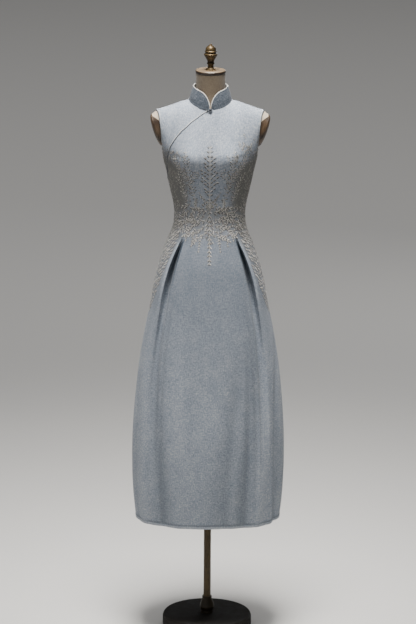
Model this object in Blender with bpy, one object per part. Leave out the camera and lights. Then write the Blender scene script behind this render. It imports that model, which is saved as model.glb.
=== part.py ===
"""A sleeveless cheongsam on a limbless dress form with a round stand.

Metres, +Z up. The dress faces -Y, so the wearer's left is at +X. The origin is on the floor, under the
pole's axis. Every cloth piece is a thin wall on one shared surface, outside(angle, height): the angle
runs round the body in degrees from the side seam at +X (0) over centre front (90), the side seam at -X
(180) and centre back (270). Up to the underarm the height is the real height; above it, the height runs
on from the underarm to the neckline or the shoulder seam, TOP, whatever their real heights are.
"""

import math

import bmesh
import bpy
import numpy as np
from mathutils import Vector

for thing in list(bpy.data.objects):
    bpy.data.objects.remove(thing, do_unlink=True)

# ---- driving sizes, in metres unless a name says degrees ----

WALL = 0.0015  # thickness of the dress cloth
GAP = 0.0003  # room between pieces that touch
HALF_GAP = GAP / 2
WELD = 0.00001
SHARPEST_FOLD = 0.55  # cosine that limits how far the wall thickens at a sharp fold
SEAM_EDGE = 0.00001  # keeps a back column on the back where it meets the front

HEM = 0.365
UNDERARM = 1.5575
CHEST_RISE = 0.14  # how far the height runs on above the underarm
TOP = UNDERARM + CHEST_RISE
SQUARENESS = 2.25  # exponent of the rounded sections

# Sections of the dress. The pleats and soft folds are cut into these smooth ones.
SECTION_COLUMNS = ("height", "half_width", "front", "back")
SECTIONS = (
    (HEM, 0.2290, 0.1530, 0.1550),
    (0.4450, 0.2370, 0.1650, 0.1660),
    (0.6000, 0.2410, 0.1735, 0.1735),
    (0.7700, 0.2315, 0.1700, 0.1710),
    (0.8750, 0.2200, 0.1660, 0.1670),
    (0.9750, 0.2035, 0.1590, 0.1600),
    (1.0550, 0.1870, 0.1500, 0.1530),
    (1.1550, 0.1680, 0.1350, 0.1410),
    (1.2150, 0.1515, 0.1240, 0.1270),
    (1.2650, 0.1335, 0.1110, 0.1110),
    (1.2920, 0.1220, 0.1020, 0.1000),
    (1.3200, 0.1135, 0.0930, 0.0890),
    (1.3500, 0.1105, 0.0880, 0.0810),
    (1.3850, 0.1130, 0.0900, 0.0800),
    (1.4300, 0.1230, 0.0980, 0.0860),
    (1.4970, 0.1375, 0.1110, 0.0980),
    (1.5450, 0.1475, 0.1170, 0.1060),
    (UNDERARM, 0.1480, 0.1165, 0.1065),
)

# Neckline, shoulder seam and armhole.
NECK_SHARE = 0.40  # share of a quarter of the top edge that is neckline; the rest is shoulder seam
NECK_HALF_WIDTH = 0.067
NECK_FRONT = 0.062
NECK_BACK = 0.057
NECK_FRONT_HEIGHT = 1.693
NECK_SIDE_HEIGHT = 1.715
NECK_BACK_HEIGHT = 1.724
SHOULDER_TIP = 0.166
SHOULDER_TIP_HEIGHT = 1.6833
SHOULDER_HOLLOW = 0.002
SHOULDER_ROUNDNESS = 2.3
ARMHOLE_BASE = UNDERARM + 0.042  # up to here an armhole's edge faces straight out to the side
ARMHOLE_FRONT = 0.046
ARMHOLE_BACK = 0.042

BUST_HEIGHT = 1.545
BUST_APEX = 0.062
BUST_FULLNESS = 0.012
BUST_SPREAD_ACROSS = 0.040
BUST_SPREAD_UP = 0.042

# The two released pleats of a panel, from the stitched top down to where they fade out. Angles are in
# degrees from the side seam, depth is how far the pleat folds in, lip how far its outer edge stands proud.
PLEAT_COLUMNS = ("height", "inner_angle", "outer_angle", "depth", "lip")
PLEAT = (
    (0.4500, 50.0, 39.0, 0.0000, 0.0000),
    (0.6000, 49.5, 38.5, 0.0040, 0.0000),
    (0.7800, 48.5, 37.5, 0.0080, 0.0010),
    (0.9400, 47.2, 36.6, 0.0130, 0.0020),
    (1.0400, 46.2, 36.4, 0.0200, 0.0030),
    (1.1000, 46.8, 37.2, 0.0250, 0.0040),
    (1.1600, 48.3, 38.8, 0.0260, 0.0040),
    (1.2100, 49.5, 40.9, 0.0225, 0.0030),
    (1.2500, 50.8, 43.8, 0.0150, 0.0020),
    (1.2760, 51.4, 46.4, 0.0070, 0.0010),
    (1.2960, 51.2, 47.4, 0.0000, 0.0000),
    (1.3250, 50.0, 44.0, 0.0000, 0.0000),
    (1.3800, 50.5, 41.4, 0.0000, 0.0000),
    (1.4600, 54.0, 41.4, 0.0000, 0.0000),
    (UNDERARM, 54.0, 41.4, 0.0000, 0.0000),
)
BACK_PLEAT_SHARE = 0.6  # depth of the back's pleats against the front's
# The pleat across, from its outer edge to its inner one: a soft roll in, then a steep way out.
PLEAT_SHAPE_COLUMNS = ("across", "sunk")
PLEAT_SHAPE = ((0.0, 0.0), (0.18, 0.50), (0.38, 0.86), (0.60, 1.0), (0.82, 0.84), (1.0, 0.0))
PLEAT_SIDEWAYS = 0.2  # how much of its depth also leads in towards the body's middle
LIP_SPREAD = 5.0

# Soft folds of the skirt. A positive depth is a trough, a negative one a ridge.
FOLD_COLUMNS = ("top", "bottom", "angle_at_top", "angle_at_bottom", "spread", "depth")
FOLDS = (
    (1.08, 0.48, 45.0, 64.0, 7.0, 0.0065),
    (1.00, 0.50, 62.0, 82.0, 8.0, 0.0040),
    (1.02, 0.38, 33.0, 50.0, 5.5, -0.0040),
    (1.10, 0.46, 140.0, 125.0, 8.0, 0.0075),
    (1.08, 0.40, 152.0, 148.0, 6.0, -0.0035),
    (1.05, 0.45, 116.0, 106.0, 7.0, -0.0025),
    (1.06, 0.42, 222.0, 216.0, 7.0, 0.0055),
    (1.10, 0.40, 248.0, 240.0, 8.0, -0.0040),
    (1.05, 0.38, 292.0, 300.0, 7.0, 0.0045),
    (1.00, 0.42, 322.0, 330.0, 6.0, -0.0040),
)

# The wearer's left side seam swings to the front down the skirt, with a shallow crease along it.
SEAM_COLUMNS = ("height", "angle")
LEFT_SEAM = ((HEM, 25.0), (0.45, 29.0), (0.60, 31.0), (0.80, 24.0), (0.93, 12.0), (1.02, 0.0))
SEAM_CREASE = 0.003
SEAM_CREASE_SPREAD = 4.0
HEM_STEP = 0.004  # the back's hem is this much higher beside that seam
HEM_STEP_SPREAD = 25.0
HEM_LIP_HEIGHT = 0.0075
HEM_LIP_THICKNESS = 0.0008
HEM_LIP_FADE = 0.0012

# The diagonal opening edge on the wearer's right, by degrees past centre front and by height.
OPENING_COLUMNS = ("past_centre", "height")
OPENING = (
    (0.0, TOP),
    (5.7, 1.6872),
    (16.0, 1.6612),
    (28.5, 1.6240),
    (40.0, 1.6040),
    (50.0, 1.5870),
    (55.5, 1.5725),
    (59.5, 1.5510),
    (67.0, 1.5160),
    (78.0, 1.4770),
    (90.0, 1.4620),
)
UNDERLAP_FADE = 0.030

# Heights of the panels' rows up to the waist and the bust; above them rows reach the top edge.
SKIRT_ROWS = (
    0.42, 0.51, 0.61, 0.71, 0.80, 0.88, 0.95, 1.01, 1.05, 1.09, 1.13, 1.165, 1.20, 1.23, 1.256,
    1.276, 1.288, 1.298, 1.32, 1.35, 1.385,
)
SIDE_ROWS = (1.42, 1.455, 1.490, 1.525, UNDERARM)
UNDER_SIDE_ROWS = (1.490, 1.525, UNDERARM)
# Rows above the underarm, as shares of the way up to the top edge. The last ones lie where the under
# panel runs on below the front's edge, so that both have the same facets there.
UNDERLAP = 0.024
UNDERLAP_ROWS = (UNDERLAP, UNDERLAP / 2, 0.0)
CHEST_ROWS = (0.05, 0.15, 0.29, 0.44, 0.58, 0.71, *(1 - u / CHEST_RISE for u in UNDERLAP_ROWS))
# Columns of a quarter, as shares of the way from the side seam to the pleat and from it to the centre.
SIDE_SPACING = (0.0, 0.12, 0.28, 0.46, 0.64, 0.83)
CENTRE_SPACING = (0.0, 0.18, 0.40, 0.64, 0.87, 1.0)
BACK_SIDE_SPACING = (0.0, 0.16, 0.36, 0.58, 0.80)
BACK_CENTRE_SPACING = (0.0, 0.30, 0.64, 1.0)

# Stand collar.
COLLAR_WALL = 0.0018
COLLAR_HALF_WIDTH = 0.0540
COLLAR_FRONT = 0.0530
COLLAR_BACK = 0.0530
COLLAR_FRONT_HEIGHT = 1.744
COLLAR_SIDE_HEIGHT = 1.757
COLLAR_BACK_HEIGHT = 1.763
COLLAR_OPENING = 0.0030  # half of the gap between its ends
COLLAR_END_HEIGHT = 0.20  # share of its height at the very end
COLLAR_END_LENGTH = 0.044  # its ends round off over this length
COLLAR_END_ROUNDNESS = 2.3
COLLAR_BULGE = 0.0012
COLLAR_LIFT = 0.0006  # room between the collar and the neckline's edge
PIPING_RADIUS = 0.0010
CORD_RADIUS = 0.0011
BINDING_RADIUS = 0.0012
ARMHOLE_MIDDLE = 0.158
ARMHOLE_MIDDLE_HEIGHT = 1.620

# Frog button.
FROG_BALL_RADIUS = 0.0046
FROG_KNOT_RADIUS = 0.0030
FROG_CORD_RADIUS = 0.0008
FROG_STAND = 0.0007  # how far the ball stands off the cloth
FROG_DROP = 0.0010
FROG_KNOT_LIFT = 0.0006
FROG_LOOP_STEPS = 20

# Dress form.
FORM_COLUMNS = ("height", "half_width", "front", "back")
FORM_HIPS = (
    (1.0450, 0.1200, 0.0720, 0.0880),
    (1.0520, 0.1380, 0.0870, 0.1040),
    (1.0720, 0.1500, 0.0960, 0.1140),
    (1.1200, 0.1530, 0.0985, 0.1170),
    (1.1800, 0.1480, 0.0970, 0.1130),
    (1.2400, 0.1320, 0.0940, 0.1020),
    (1.2920, 0.1160, 0.0925, 0.0930),
    (1.3200, 0.1085, 0.0870, 0.0835),
    (1.3500, 0.1055, 0.0830, 0.0760),
    (1.3850, 0.1080, 0.0850, 0.0750),
    (1.4300, 0.1180, 0.0930, 0.0810),
    (1.4970, 0.1325, 0.1060, 0.0930),
    (1.5450, 0.1425, 0.1120, 0.1010),
    (UNDERARM, 0.1430, 0.1115, 0.1015),
)
FORM_SQUARENESS = 2.12
FORM_NECK_ROOM = 0.0065
FORM_SHOULDER_ROOM = 0.0022
FORM_ARMHOLE_ROOM = 0.0062
FORM_HIP_ROWS = (1.045, 1.052, 1.072, 1.11, 1.17, 1.23, 1.28, 1.32, 1.35, 1.385, 1.43, 1.48, 1.53)
FORM_CHEST_ROWS = 9
FORM_ANGLES = (0.0, 6.0, 14.0, 24.0, 36.0, 45.0, 54.0, 66.0, 78.0, 90.0)
NECK_RADIUS = 0.0460
NECK_TOP = 1.7980
NECK_RINGS = 5
NECK_SLIM_SHARE = 0.5  # the neck is down to its radius this far up

ARM_PLATE_TOP = 0.181
ARM_PLATE_TOP_HEIGHT = 1.668
ARM_PLATE_HALF_LENGTH = 0.053
ARM_PLATE_HALF_WIDTH = 0.036
ARM_PLATE_TILT = math.radians(19.0)
ARM_PLATE_RIM = 0.003
ARM_PLATE_DOME = 0.010
ARM_PLATE_DOME_STEP = 28.0
ARM_PLATE_SEGMENTS = 28

CAP_THICKNESS = 0.010
CAP_RADIUS = 0.0468
POLE_RADIUS = 0.0116
POLE_SEAT = 0.030  # how deep the pole stands in its socket
BASE_RADIUS = 0.142
BASE_THICKNESS = 0.038
BASE_EDGE = 0.003

# Turned profiles: radius and height above the seat.
TURNED_COLUMNS = ("radius", "rise")
FINIAL = (
    (0.0150, 0.0000), (0.0152, 0.0030), (0.0120, 0.0048), (0.0090, 0.0080), (0.0088, 0.0160),
    (0.0127, 0.0200), (0.0100, 0.0235), (0.0108, 0.0290), (0.0165, 0.0390),
    (0.0210, 0.0470), (0.0214, 0.0500), (0.0168, 0.0525), (0.0164, 0.0545), (0.0188, 0.0565),
    (0.0186, 0.0590), (0.0160, 0.0608), (0.0165, 0.0650), (0.0140, 0.0705), (0.0085, 0.0755),
    (0.0042, 0.0775), (0.0036, 0.0800),
)
SOCKET = (
    (0.0195, 0.0000), (0.0200, 0.0035), (0.0178, 0.0060), (0.0190, 0.0100), (0.0228, 0.0170),
    (0.0234, 0.0230), (0.0215, 0.0310), (0.0175, 0.0420), (0.0148, 0.0490), (0.0150, 0.0510),
    (0.0158, 0.0535), (0.0150, 0.0560),
)

MATERIALS = {
    "dress_linen": ((0.27, 0.32, 0.38), 0.85, 0.0),
    "collar_linen": ((0.22, 0.27, 0.33), 0.85, 0.0),
    "pale_piping": ((0.70, 0.68, 0.62), 0.60, 0.0),
    "grey_cord": ((0.16, 0.18, 0.20), 0.55, 0.0),
    "frog_dark": ((0.05, 0.06, 0.08), 0.50, 0.0),
    "form_linen": ((0.55, 0.47, 0.36), 0.90, 0.0),
    "dark_wood": ((0.07, 0.045, 0.02), 0.45, 0.0),
    "cap_wood": ((0.38, 0.25, 0.13), 0.45, 0.0),
    "bronze": ((0.16, 0.10, 0.05), 0.40, 0.9),
    "pole_bronze": ((0.06, 0.035, 0.015), 0.40, 0.9),
    "base_iron": ((0.03, 0.024, 0.014), 0.50, 0.6),
}


# ---- small helpers ----

def smooth_curve(rows, column):
    """A smooth function through one column of a table, against the table's first column."""
    at = np.array([row[0] for row in rows], float)
    value = np.array([row[column] for row in rows], float)
    slope = np.gradient(value, at)

    def read(x):
        x = min(max(x, at[0]), at[-1])
        i = min(max(int(np.searchsorted(at, x)) - 1, 0), len(at) - 2)
        span = at[i + 1] - at[i]
        t = (x - at[i]) / span
        rise = value[i] * (1 + 2 * t) * (1 - t) ** 2 + value[i + 1] * t * t * (3 - 2 * t)
        bend = slope[i] * t * (1 - t) ** 2 - slope[i + 1] * t * t * (1 - t)
        return float(rise + bend * span)

    return read


def straight_curve(rows, column):
    """A piecewise straight function through one column of a table."""
    at = [row[0] for row in rows]
    value = [row[column] for row in rows]

    def read(x):
        return float(np.interp(x, at, value))

    return read


def ease(x):
    """Rises smoothly from 0 at x = 0 to 1 at x = 1."""
    x = min(max(x, 0.0), 1.0)
    return x * x * (3 - 2 * x)


def blend(a, b, share):
    return a + (b - a) * share


def bell(x, spread):
    return math.exp(-((x / spread) ** 2))


dress_size = {name: smooth_curve(SECTIONS, i) for i, name in enumerate(SECTION_COLUMNS) if i}
form_size = {name: smooth_curve(FORM_HIPS, i) for i, name in enumerate(FORM_COLUMNS) if i}
pleat_size = {name: smooth_curve(PLEAT, i) for i, name in enumerate(PLEAT_COLUMNS) if i}
pleat_sunk = straight_curve(PLEAT_SHAPE, 1)
left_seam_angle = smooth_curve(LEFT_SEAM, 1)
opening_height = smooth_curve(OPENING, 1)


def seam_angle(height):
    """Where the wearer's left side seam runs, in degrees from the side."""
    if height >= LEFT_SEAM[-1][0]:
        return 0.0
    return max(0.0, left_seam_angle(height))


# ---- the body's surface ----

def quarter(angle):
    """Splits an angle round the body: degrees from the nearest side seam, sign of x, and front or not."""
    angle = angle % 360.0
    front = angle <= 180.0
    around = angle if front else 360.0 - angle
    if around <= 90.0:
        return around, 1.0, front
    return 180.0 - around, -1.0, front


def section_point(from_side, half_width, depth, squareness):
    """A point of a rounded quarter section, from (half_width, 0) at 0 degrees to (0, depth) at 90."""
    power = 2.0 / squareness
    c = max(math.cos(math.radians(from_side)), 0.0) ** power
    s = max(math.sin(math.radians(from_side)), 0.0) ** power
    return half_width * c, depth * s


def section_normal(x, y, half_width, depth, squareness):
    nx = (abs(x) / half_width) ** (squareness - 1) / half_width
    ny = (abs(y) / depth) ** (squareness - 1) / depth
    length = math.hypot(nx, ny)
    return nx / length, ny / length


def pleat_depth(angle, height):
    """How far a pleat folds in there, straight back from the panel."""
    from_side, _, front = quarter(angle)
    inner = pleat_size["inner_angle"](height)
    outer = pleat_size["outer_angle"](height)
    across = (from_side - outer) / (inner - outer)
    share = 1.0 if front else BACK_PLEAT_SHARE
    return share * pleat_size["depth"](height) * pleat_sunk(across) if 0 < across < 1 else 0.0


def lip_height(angle, height):
    """How far the cloth beside a pleat's outer edge stands proud."""
    from_side, _, front = quarter(angle)
    inner = pleat_size["inner_angle"](height)
    outer = pleat_size["outer_angle"](height)
    share = 1.0 if front else BACK_PLEAT_SHARE
    if from_side <= outer:
        fade = bell(from_side - outer, LIP_SPREAD)
    else:
        fade = max(0.0, 1 - (from_side - outer) / (inner - outer))
    return share * pleat_size["lip"](height) * fade


def fold_inset(angle, height):
    inset = 0.0
    for top, bottom, angle_top, angle_bottom, spread, depth in FOLDS:
        down = (top - height) / (top - bottom)
        if down <= 0.0:
            continue
        strength = math.sin(min(down, 1.0) * math.pi * 0.5) if down < 1.0 else 1.0
        at = blend(angle_top, angle_bottom, min(down, 1.0))
        inset += depth * strength * bell(angle - at, spread)
    seam = seam_angle(height)
    if seam > 0.0:
        away = (angle - seam + 180.0) % 360.0 - 180.0
        inset += SEAM_CREASE * ease(seam / 20.0) * bell(away, SEAM_CREASE_SPREAD)
    return inset


def bust(x, height):
    return BUST_FULLNESS * bell(abs(x) - BUST_APEX, BUST_SPREAD_ACROSS) * bell(
        height - BUST_HEIGHT, BUST_SPREAD_UP
    )


def lower_point(angle, height, size, squareness, folded):
    """The surface below the underarm, where sections are level."""
    from_side, side, front = quarter(angle)
    half_width = size["half_width"](height)
    depth = size["front" if front else "back"](height)
    x, y = section_point(from_side, half_width, depth, squareness)
    nx, ny = section_normal(x, y, half_width, depth, squareness)
    if folded:
        inset = fold_inset(angle, height) - lip_height(angle, height)
        pleat = pleat_depth(angle, height)
        x -= nx * (inset + pleat * PLEAT_SIDEWAYS)
        y -= ny * inset + pleat
    if front:
        y += bust(x, height) * ease(from_side / 30.0)
    return Vector((side * x, -y if front else y, height))


def top_edge(share, front, neck_room=0.0, shoulder_room=0.0):
    """The neckline, then the shoulder seam, from the centre (0) to the shoulder tip (1)."""
    if share <= NECK_SHARE:
        turn = share / NECK_SHARE * math.pi / 2
        reach = NECK_FRONT if front else NECK_BACK
        middle = NECK_FRONT_HEIGHT if front else NECK_BACK_HEIGHT
        x = (NECK_HALF_WIDTH - neck_room) * math.sin(turn)
        y = (reach - neck_room) * math.cos(turn)
        z = blend(NECK_SIDE_HEIGHT, middle, math.cos(turn) ** 1.5) - shoulder_room
        return Vector((x, -y if front else y, z))
    along = (share - NECK_SHARE) / (1 - NECK_SHARE)
    x = blend(NECK_HALF_WIDTH - neck_room, SHOULDER_TIP, along)
    z = blend(NECK_SIDE_HEIGHT, SHOULDER_TIP_HEIGHT, along) - SHOULDER_HOLLOW * math.sin(math.pi * along)
    return Vector((x, 0.0, z - shoulder_room))


def upper_point(angle, rise, size, squareness, neck_room=0.0, shoulder_room=0.0, armhole_room=0.0):
    """The surface above the underarm; rise is 0 at the underarm and 1 at the top edge."""
    from_side, side, front = quarter(angle)
    share = 1.0 - from_side / 90.0
    half_width = size["half_width"](UNDERARM)
    depth = size["front" if front else "back"](UNDERARM)
    x0, y0 = section_point(from_side, half_width, depth, squareness)
    top = top_edge(share, front, neck_room, shoulder_room)
    roll = ease((share - 0.12) / 0.40)
    turn = rise * math.pi / 2
    power = 2.0 / SHOULDER_ROUNDNESS
    back_way = blend(rise**1.3, 1 - max(math.cos(turn), 0.0) ** power, roll)
    up_way = blend(rise, math.sin(turn) ** power, roll * ease(rise * 1.25))
    armhole = math.sqrt(max(1 - (2 * up_way - 1) ** 2, 0.0))
    x = blend(x0, top.x, rise**1.6)
    y = blend(y0, abs(top.y), back_way)
    z = blend(UNDERARM, top.z, up_way)
    forward = (ARMHOLE_FRONT if front else ARMHOLE_BACK) - armhole_room
    y += forward * armhole * share**3
    if front:
        y += bust(x, z) * ease(from_side / 30.0) * ease((1 - rise) / 0.15)
    return Vector((side * x, -y if front else y, z))


def outside(angle, height):
    """The dress's outer surface."""
    if height <= UNDERARM:
        return lower_point(angle, height, dress_size, SQUARENESS, True)
    return upper_point(angle, (height - UNDERARM) / CHEST_RISE, dress_size, SQUARENESS)


def form_surface(angle, height):
    """The dress form's surface, just inside the dress."""
    if height <= UNDERARM:
        return lower_point(angle, height, form_size, FORM_SQUARENESS, False)
    return upper_point(
        angle, (height - UNDERARM) / CHEST_RISE, form_size, FORM_SQUARENESS,
        FORM_NECK_ROOM, FORM_SHOULDER_ROOM, FORM_ARMHOLE_ROOM,
    )


def outward(angle, height):
    """The direction that points away from the body at a place of the dress."""
    from_side, side, front = quarter(angle)
    if from_side < 0.01 and UNDERARM <= height <= ARMHOLE_BASE:
        return Vector((side, 0.0, 0.0))
    step_angle, step_height = 0.4, 0.0015
    low, high = max(height - step_height, HEM), min(height + step_height, TOP)
    left, right = angle - step_angle, angle + step_angle
    if height > UNDERARM:
        left = max(left, 0.0 if front else 180.0 + SEAM_EDGE)
        right = min(right, 180.0 if front else 360.0 - SEAM_EDGE)
    up = outside(angle, high) - outside(angle, low)
    along = outside(right, height) - outside(left, height)
    normal = along.cross(up)
    if height >= TOP - step_height and from_side < 90.0 * (1 - NECK_SHARE):
        normal.y = 0.0
    if from_side < 0.01 and height <= UNDERARM:
        normal.y = 0.0
    normal.normalize()
    rough = Vector((side * math.cos(math.radians(from_side)), 0.0, 0.0))
    rough.y = math.sin(math.radians(from_side)) * (-1 if front else 1)
    rough.z = 1.0 if height > TOP - 0.01 else 0.0
    return normal if normal.dot(rough) > 0 else -normal


# ---- making meshes ----

def material(name):
    colour, roughness, metallic = MATERIALS[name]
    found = bpy.data.materials.get(name)
    if found:
        return found
    made = bpy.data.materials.new(name)
    made.use_nodes = True
    shader = made.node_tree.nodes["Principled BSDF"]
    shader.inputs["Base Color"].default_value = (*colour, 1.0)
    shader.inputs["Roughness"].default_value = roughness
    shader.inputs["Metallic"].default_value = metallic
    return made


def add_object(name, bm, material_name, sharp_degrees=50.0):
    """Turns a bmesh into a shaded object with its faces pointing out."""
    bmesh.ops.recalc_face_normals(bm, faces=bm.faces)
    mesh = bpy.data.meshes.new(name)
    bm.to_mesh(mesh)
    bm.free()
    mesh.shade_smooth()
    mesh.set_sharp_from_angle(angle=math.radians(sharp_degrees))
    mesh.materials.append(material(material_name))
    made = bpy.data.objects.new(name, mesh)
    bpy.context.scene.collection.objects.link(made)
    return made


def grid_faces(bm, grid, wrap=False):
    """Skins a grid of vertices, given as a list of rows, with triangles that all lean one way."""
    for low, high in zip(grid, grid[1:]):
        last = len(low) if wrap else len(low) - 1
        for i in range(last):
            j = (i + 1) % len(low)
            bm.faces.new((low[i], low[j], high[j]))
            bm.faces.new((low[i], high[j], high[i]))


def wall(name, outer, inner, material_name):
    """A closed wall between two grids of points with the same rows and columns."""
    bm = bmesh.new()
    out = [[bm.verts.new(p) for p in row] for row in outer]
    back = [[bm.verts.new(p) for p in row] for row in inner]
    grid_faces(bm, out)
    grid_faces(bm, back)
    edge_out = out[0] + [row[-1] for row in out[1:]] + out[-1][-2::-1] + [row[0] for row in out[-2:0:-1]]
    edge_in = back[0] + [row[-1] for row in back[1:]] + back[-1][-2::-1] + [row[0] for row in back[-2:0:-1]]
    for i in range(len(edge_out)):
        j = (i + 1) % len(edge_out)
        bm.faces.new((edge_out[i], edge_out[j], edge_in[j], edge_in[i]))
    return add_object(name, bm, material_name)


def pulled_in(grid, amount, edges):
    """Draws the named edges of a grid in by an amount, towards the next row or column."""
    moved = [[p.copy() for p in row] for row in grid]
    rows, columns = len(grid), len(grid[0])
    for i in range(rows):
        for edge, j, k in (("start", 0, 1), ("end", columns - 1, columns - 2)):
            if edge in edges:
                moved[i][j] += (grid[i][k] - grid[i][j]).normalized() * amount
    for j in range(columns):
        for edge, i, k in (("bottom", 0, 1), ("top", rows - 1, rows - 2)):
            if edge in edges:
                moved[i][j] += (grid[k][j] - grid[i][j]).normalized() * amount
    return moved


def cell_normals(points):
    """The outward normal of each cell of a grid whose columns run round the body from +X."""
    normals = []
    for low, high in zip(points, points[1:]):
        row = []
        for i in range(len(low) - 1):
            along = low[i + 1] + high[i + 1] - low[i] - high[i]
            up = high[i] + high[i + 1] - low[i] - low[i + 1]
            row.append(up.cross(along).normalized())
        normals.append(row)
    return normals


def offset_directions(places, points):
    """Where the wall's inner face lies from each point: outward normals, longer at a sharp fold."""
    cells = cell_normals(points)
    rows, columns = len(points), len(points[0])
    directions = []
    for i in range(rows):
        row = []
        for j in range(columns):
            angle, height = places[i][j]
            if j in (0, columns - 1) and height <= ARMHOLE_BASE:
                row.append(outward(angle, height))
                continue
            near = [
                cells[k][m]
                for k in (i - 1, i) if 0 <= k < rows - 1
                for m in (j - 1, j) if 0 <= m < columns - 1
            ]
            normal = sum(near, Vector())
            if height >= TOP - SEAM_EDGE and quarter(angle)[0] <= 90.0 * (1 - NECK_SHARE) + SEAM_EDGE:
                normal.y = 0.0
            normal.normalize()
            narrow = max(min(normal.dot(cell) for cell in near), SHARPEST_FOLD)
            row.append(normal / narrow)
        directions.append(row)
    return directions


def cloth_grids(places, sunk, raised, edges):
    """Outer and inner points of a cloth wall through a grid of (angle, height) places."""
    points = [[outside(angle, height) for angle, height in row] for row in places]
    directions = offset_directions(places, points)
    outer, inner = [], []
    for place_row, point_row, direction_row in zip(places, points, directions):
        outer_row, inner_row = [], []
        for (angle, height), point, direction in zip(place_row, point_row, direction_row):
            lift = raised(height) - sunk(angle, height)
            outer_row.append(point + direction * lift)
            inner_row.append(point - direction * (WALL + sunk(angle, height)))
        outer.append(outer_row)
        inner.append(inner_row)
    return pulled_in(outer, HALF_GAP, edges), pulled_in(inner, HALF_GAP, edges)


def hem_lip(height):
    """How far the hem's fold stands proud of the skirt."""
    return HEM_LIP_THICKNESS if height <= HEM + HEM_LIP_HEIGHT + 1e-6 else 0.0


def flat(*_):
    return 0.0


def quarter_angles(height, seam, side_spacing, centre_spacing):
    """The columns of a quarter, in degrees from the side, from the seam to the centre line."""
    inner = pleat_size["inner_angle"](height)
    outer = pleat_size["outer_angle"](height)
    side = [blend(seam, outer, share) for share in side_spacing]
    pleat = [blend(outer, inner, row[0]) for row in PLEAT_SHAPE]
    centre = [blend(inner, 90.0, share) for share in centre_spacing[1:]]
    return side + pleat + centre


def tube(name, line, radius, sides, material_name, closed=False):
    """A round tube along a line of points."""
    bm = bmesh.new()
    rings = []
    count = len(line)
    reference = Vector((0.0, 0.0, 1.0))
    for i, point in enumerate(line):
        before = line[i - 1] if i or closed else point
        after = line[(i + 1) % count] if i < count - 1 or closed else point
        tangent = (after - before).normalized()
        side = tangent.cross(reference)
        if side.length < 0.2:
            side = tangent.cross(Vector((0.0, 1.0, 0.0)))
        side.normalize()
        if rings and side.dot(last_side) < 0:
            side = -side
        last_side = side
        up = side.cross(tangent)
        ring = []
        for k in range(sides):
            turn = 2 * math.pi * k / sides
            ring.append(bm.verts.new(point + (side * math.cos(turn) + up * math.sin(turn)) * radius))
        rings.append(ring)
    if closed:
        rings.append(rings[0])
    grid_faces(bm, rings, wrap=True)
    if not closed:
        bm.faces.new(rings[0])
        bm.faces.new(rings[-1])
    return add_object(name, bm, material_name, 60.0)


def turned(name, profile, seat_height, segments, material_name, bore=None):
    """A solid turned round the pole's axis; a bore is a blind hole in its top, (radius, depth)."""
    bm = bmesh.new()
    rings = []
    outline = [(radius, seat_height + rise) for radius, rise in profile]
    if bore:
        top = outline[-1][1]
        outline += [(bore[0], top), (bore[0], top - bore[1])]
    for radius, z in outline:
        ring = []
        for k in range(segments):
            turn = 2 * math.pi * k / segments
            ring.append(bm.verts.new((radius * math.cos(turn), radius * math.sin(turn), z)))
        rings.append(ring)
    grid_faces(bm, rings, wrap=True)
    bm.faces.new(rings[0])
    bm.faces.new(rings[-1])
    return add_object(name, bm, material_name, 40.0)


# ---- the dress ----

def bodice_heights():
    """The rows from the bust to the top edge."""
    return [*SIDE_ROWS, *(blend(UNDERARM, TOP, rise) for rise in CHEST_ROWS)]


def front_panel():
    """Whole front: hem to neck on the wearer's left, hem to the diagonal opening on the right."""
    heights = [HEM, HEM + HEM_LIP_HEIGHT, HEM + HEM_LIP_HEIGHT + HEM_LIP_FADE, *SKIRT_ROWS]
    places = []
    for height in heights:
        left = quarter_angles(height, seam_angle(height), SIDE_SPACING, CENTRE_SPACING)
        right = quarter_angles(height, 0.0, SIDE_SPACING, CENTRE_SPACING)
        places.append([(a, height) for a in left] + [(180.0 - a, height) for a in right[-2::-1]])
    start = heights[-1]
    for height in bodice_heights():
        below = min((TOP - height), UNDERLAP)
        share = min((height - start) / (TOP - UNDERLAP - start), 1.0)
        columns = quarter_angles(min(height, UNDERARM), 0.0, SIDE_SPACING, CENTRE_SPACING)
        row = [(angle, height) for angle in columns]
        for from_side in columns[-2::-1]:
            end = opening_height(90.0 - from_side)
            row.append((180.0 - from_side, blend(start, end - below, share)))
        places.append(row)
    outer, inner = cloth_grids(places, flat, hem_lip, ("start", "end", "top"))
    return wall("front_panel", outer, inner, "dress_linen")


def under_sunk(angle, height):
    """The under panel lies one cloth deeper near the opening edge and level with the back at the shoulder."""
    above = height - opening_height(angle - 90.0)
    return (WALL + GAP) * (1 - ease(above / UNDERLAP_FADE - 0.4))


def under_panel():
    """The wearer's right shoulder and chest, running on under the diagonal edge."""
    angles = [180.0 - a for a in quarter_angles(UNDERARM, 0.0, SIDE_SPACING, CENTRE_SPACING)[::-1]]
    edges = [min(opening_height(angle - 90.0), TOP - UNDERLAP / 2) for angle in angles]
    places = [[(a, edge - below) for a, edge in zip(angles, edges)] for below in UNDERLAP_ROWS]
    lowest = opening_height(90.0)
    for height in [*UNDER_SIDE_ROWS, *(blend(UNDERARM, TOP, rise) for rise in CHEST_ROWS)]:
        share = (height - lowest) / (TOP - lowest)
        places.append([(a, blend(edge, TOP, share)) for a, edge in zip(angles, edges)])
    outer, inner = cloth_grids(places, under_sunk, flat, ("end", "top"))
    return wall("under_panel", outer, inner, "dress_linen")


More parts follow.
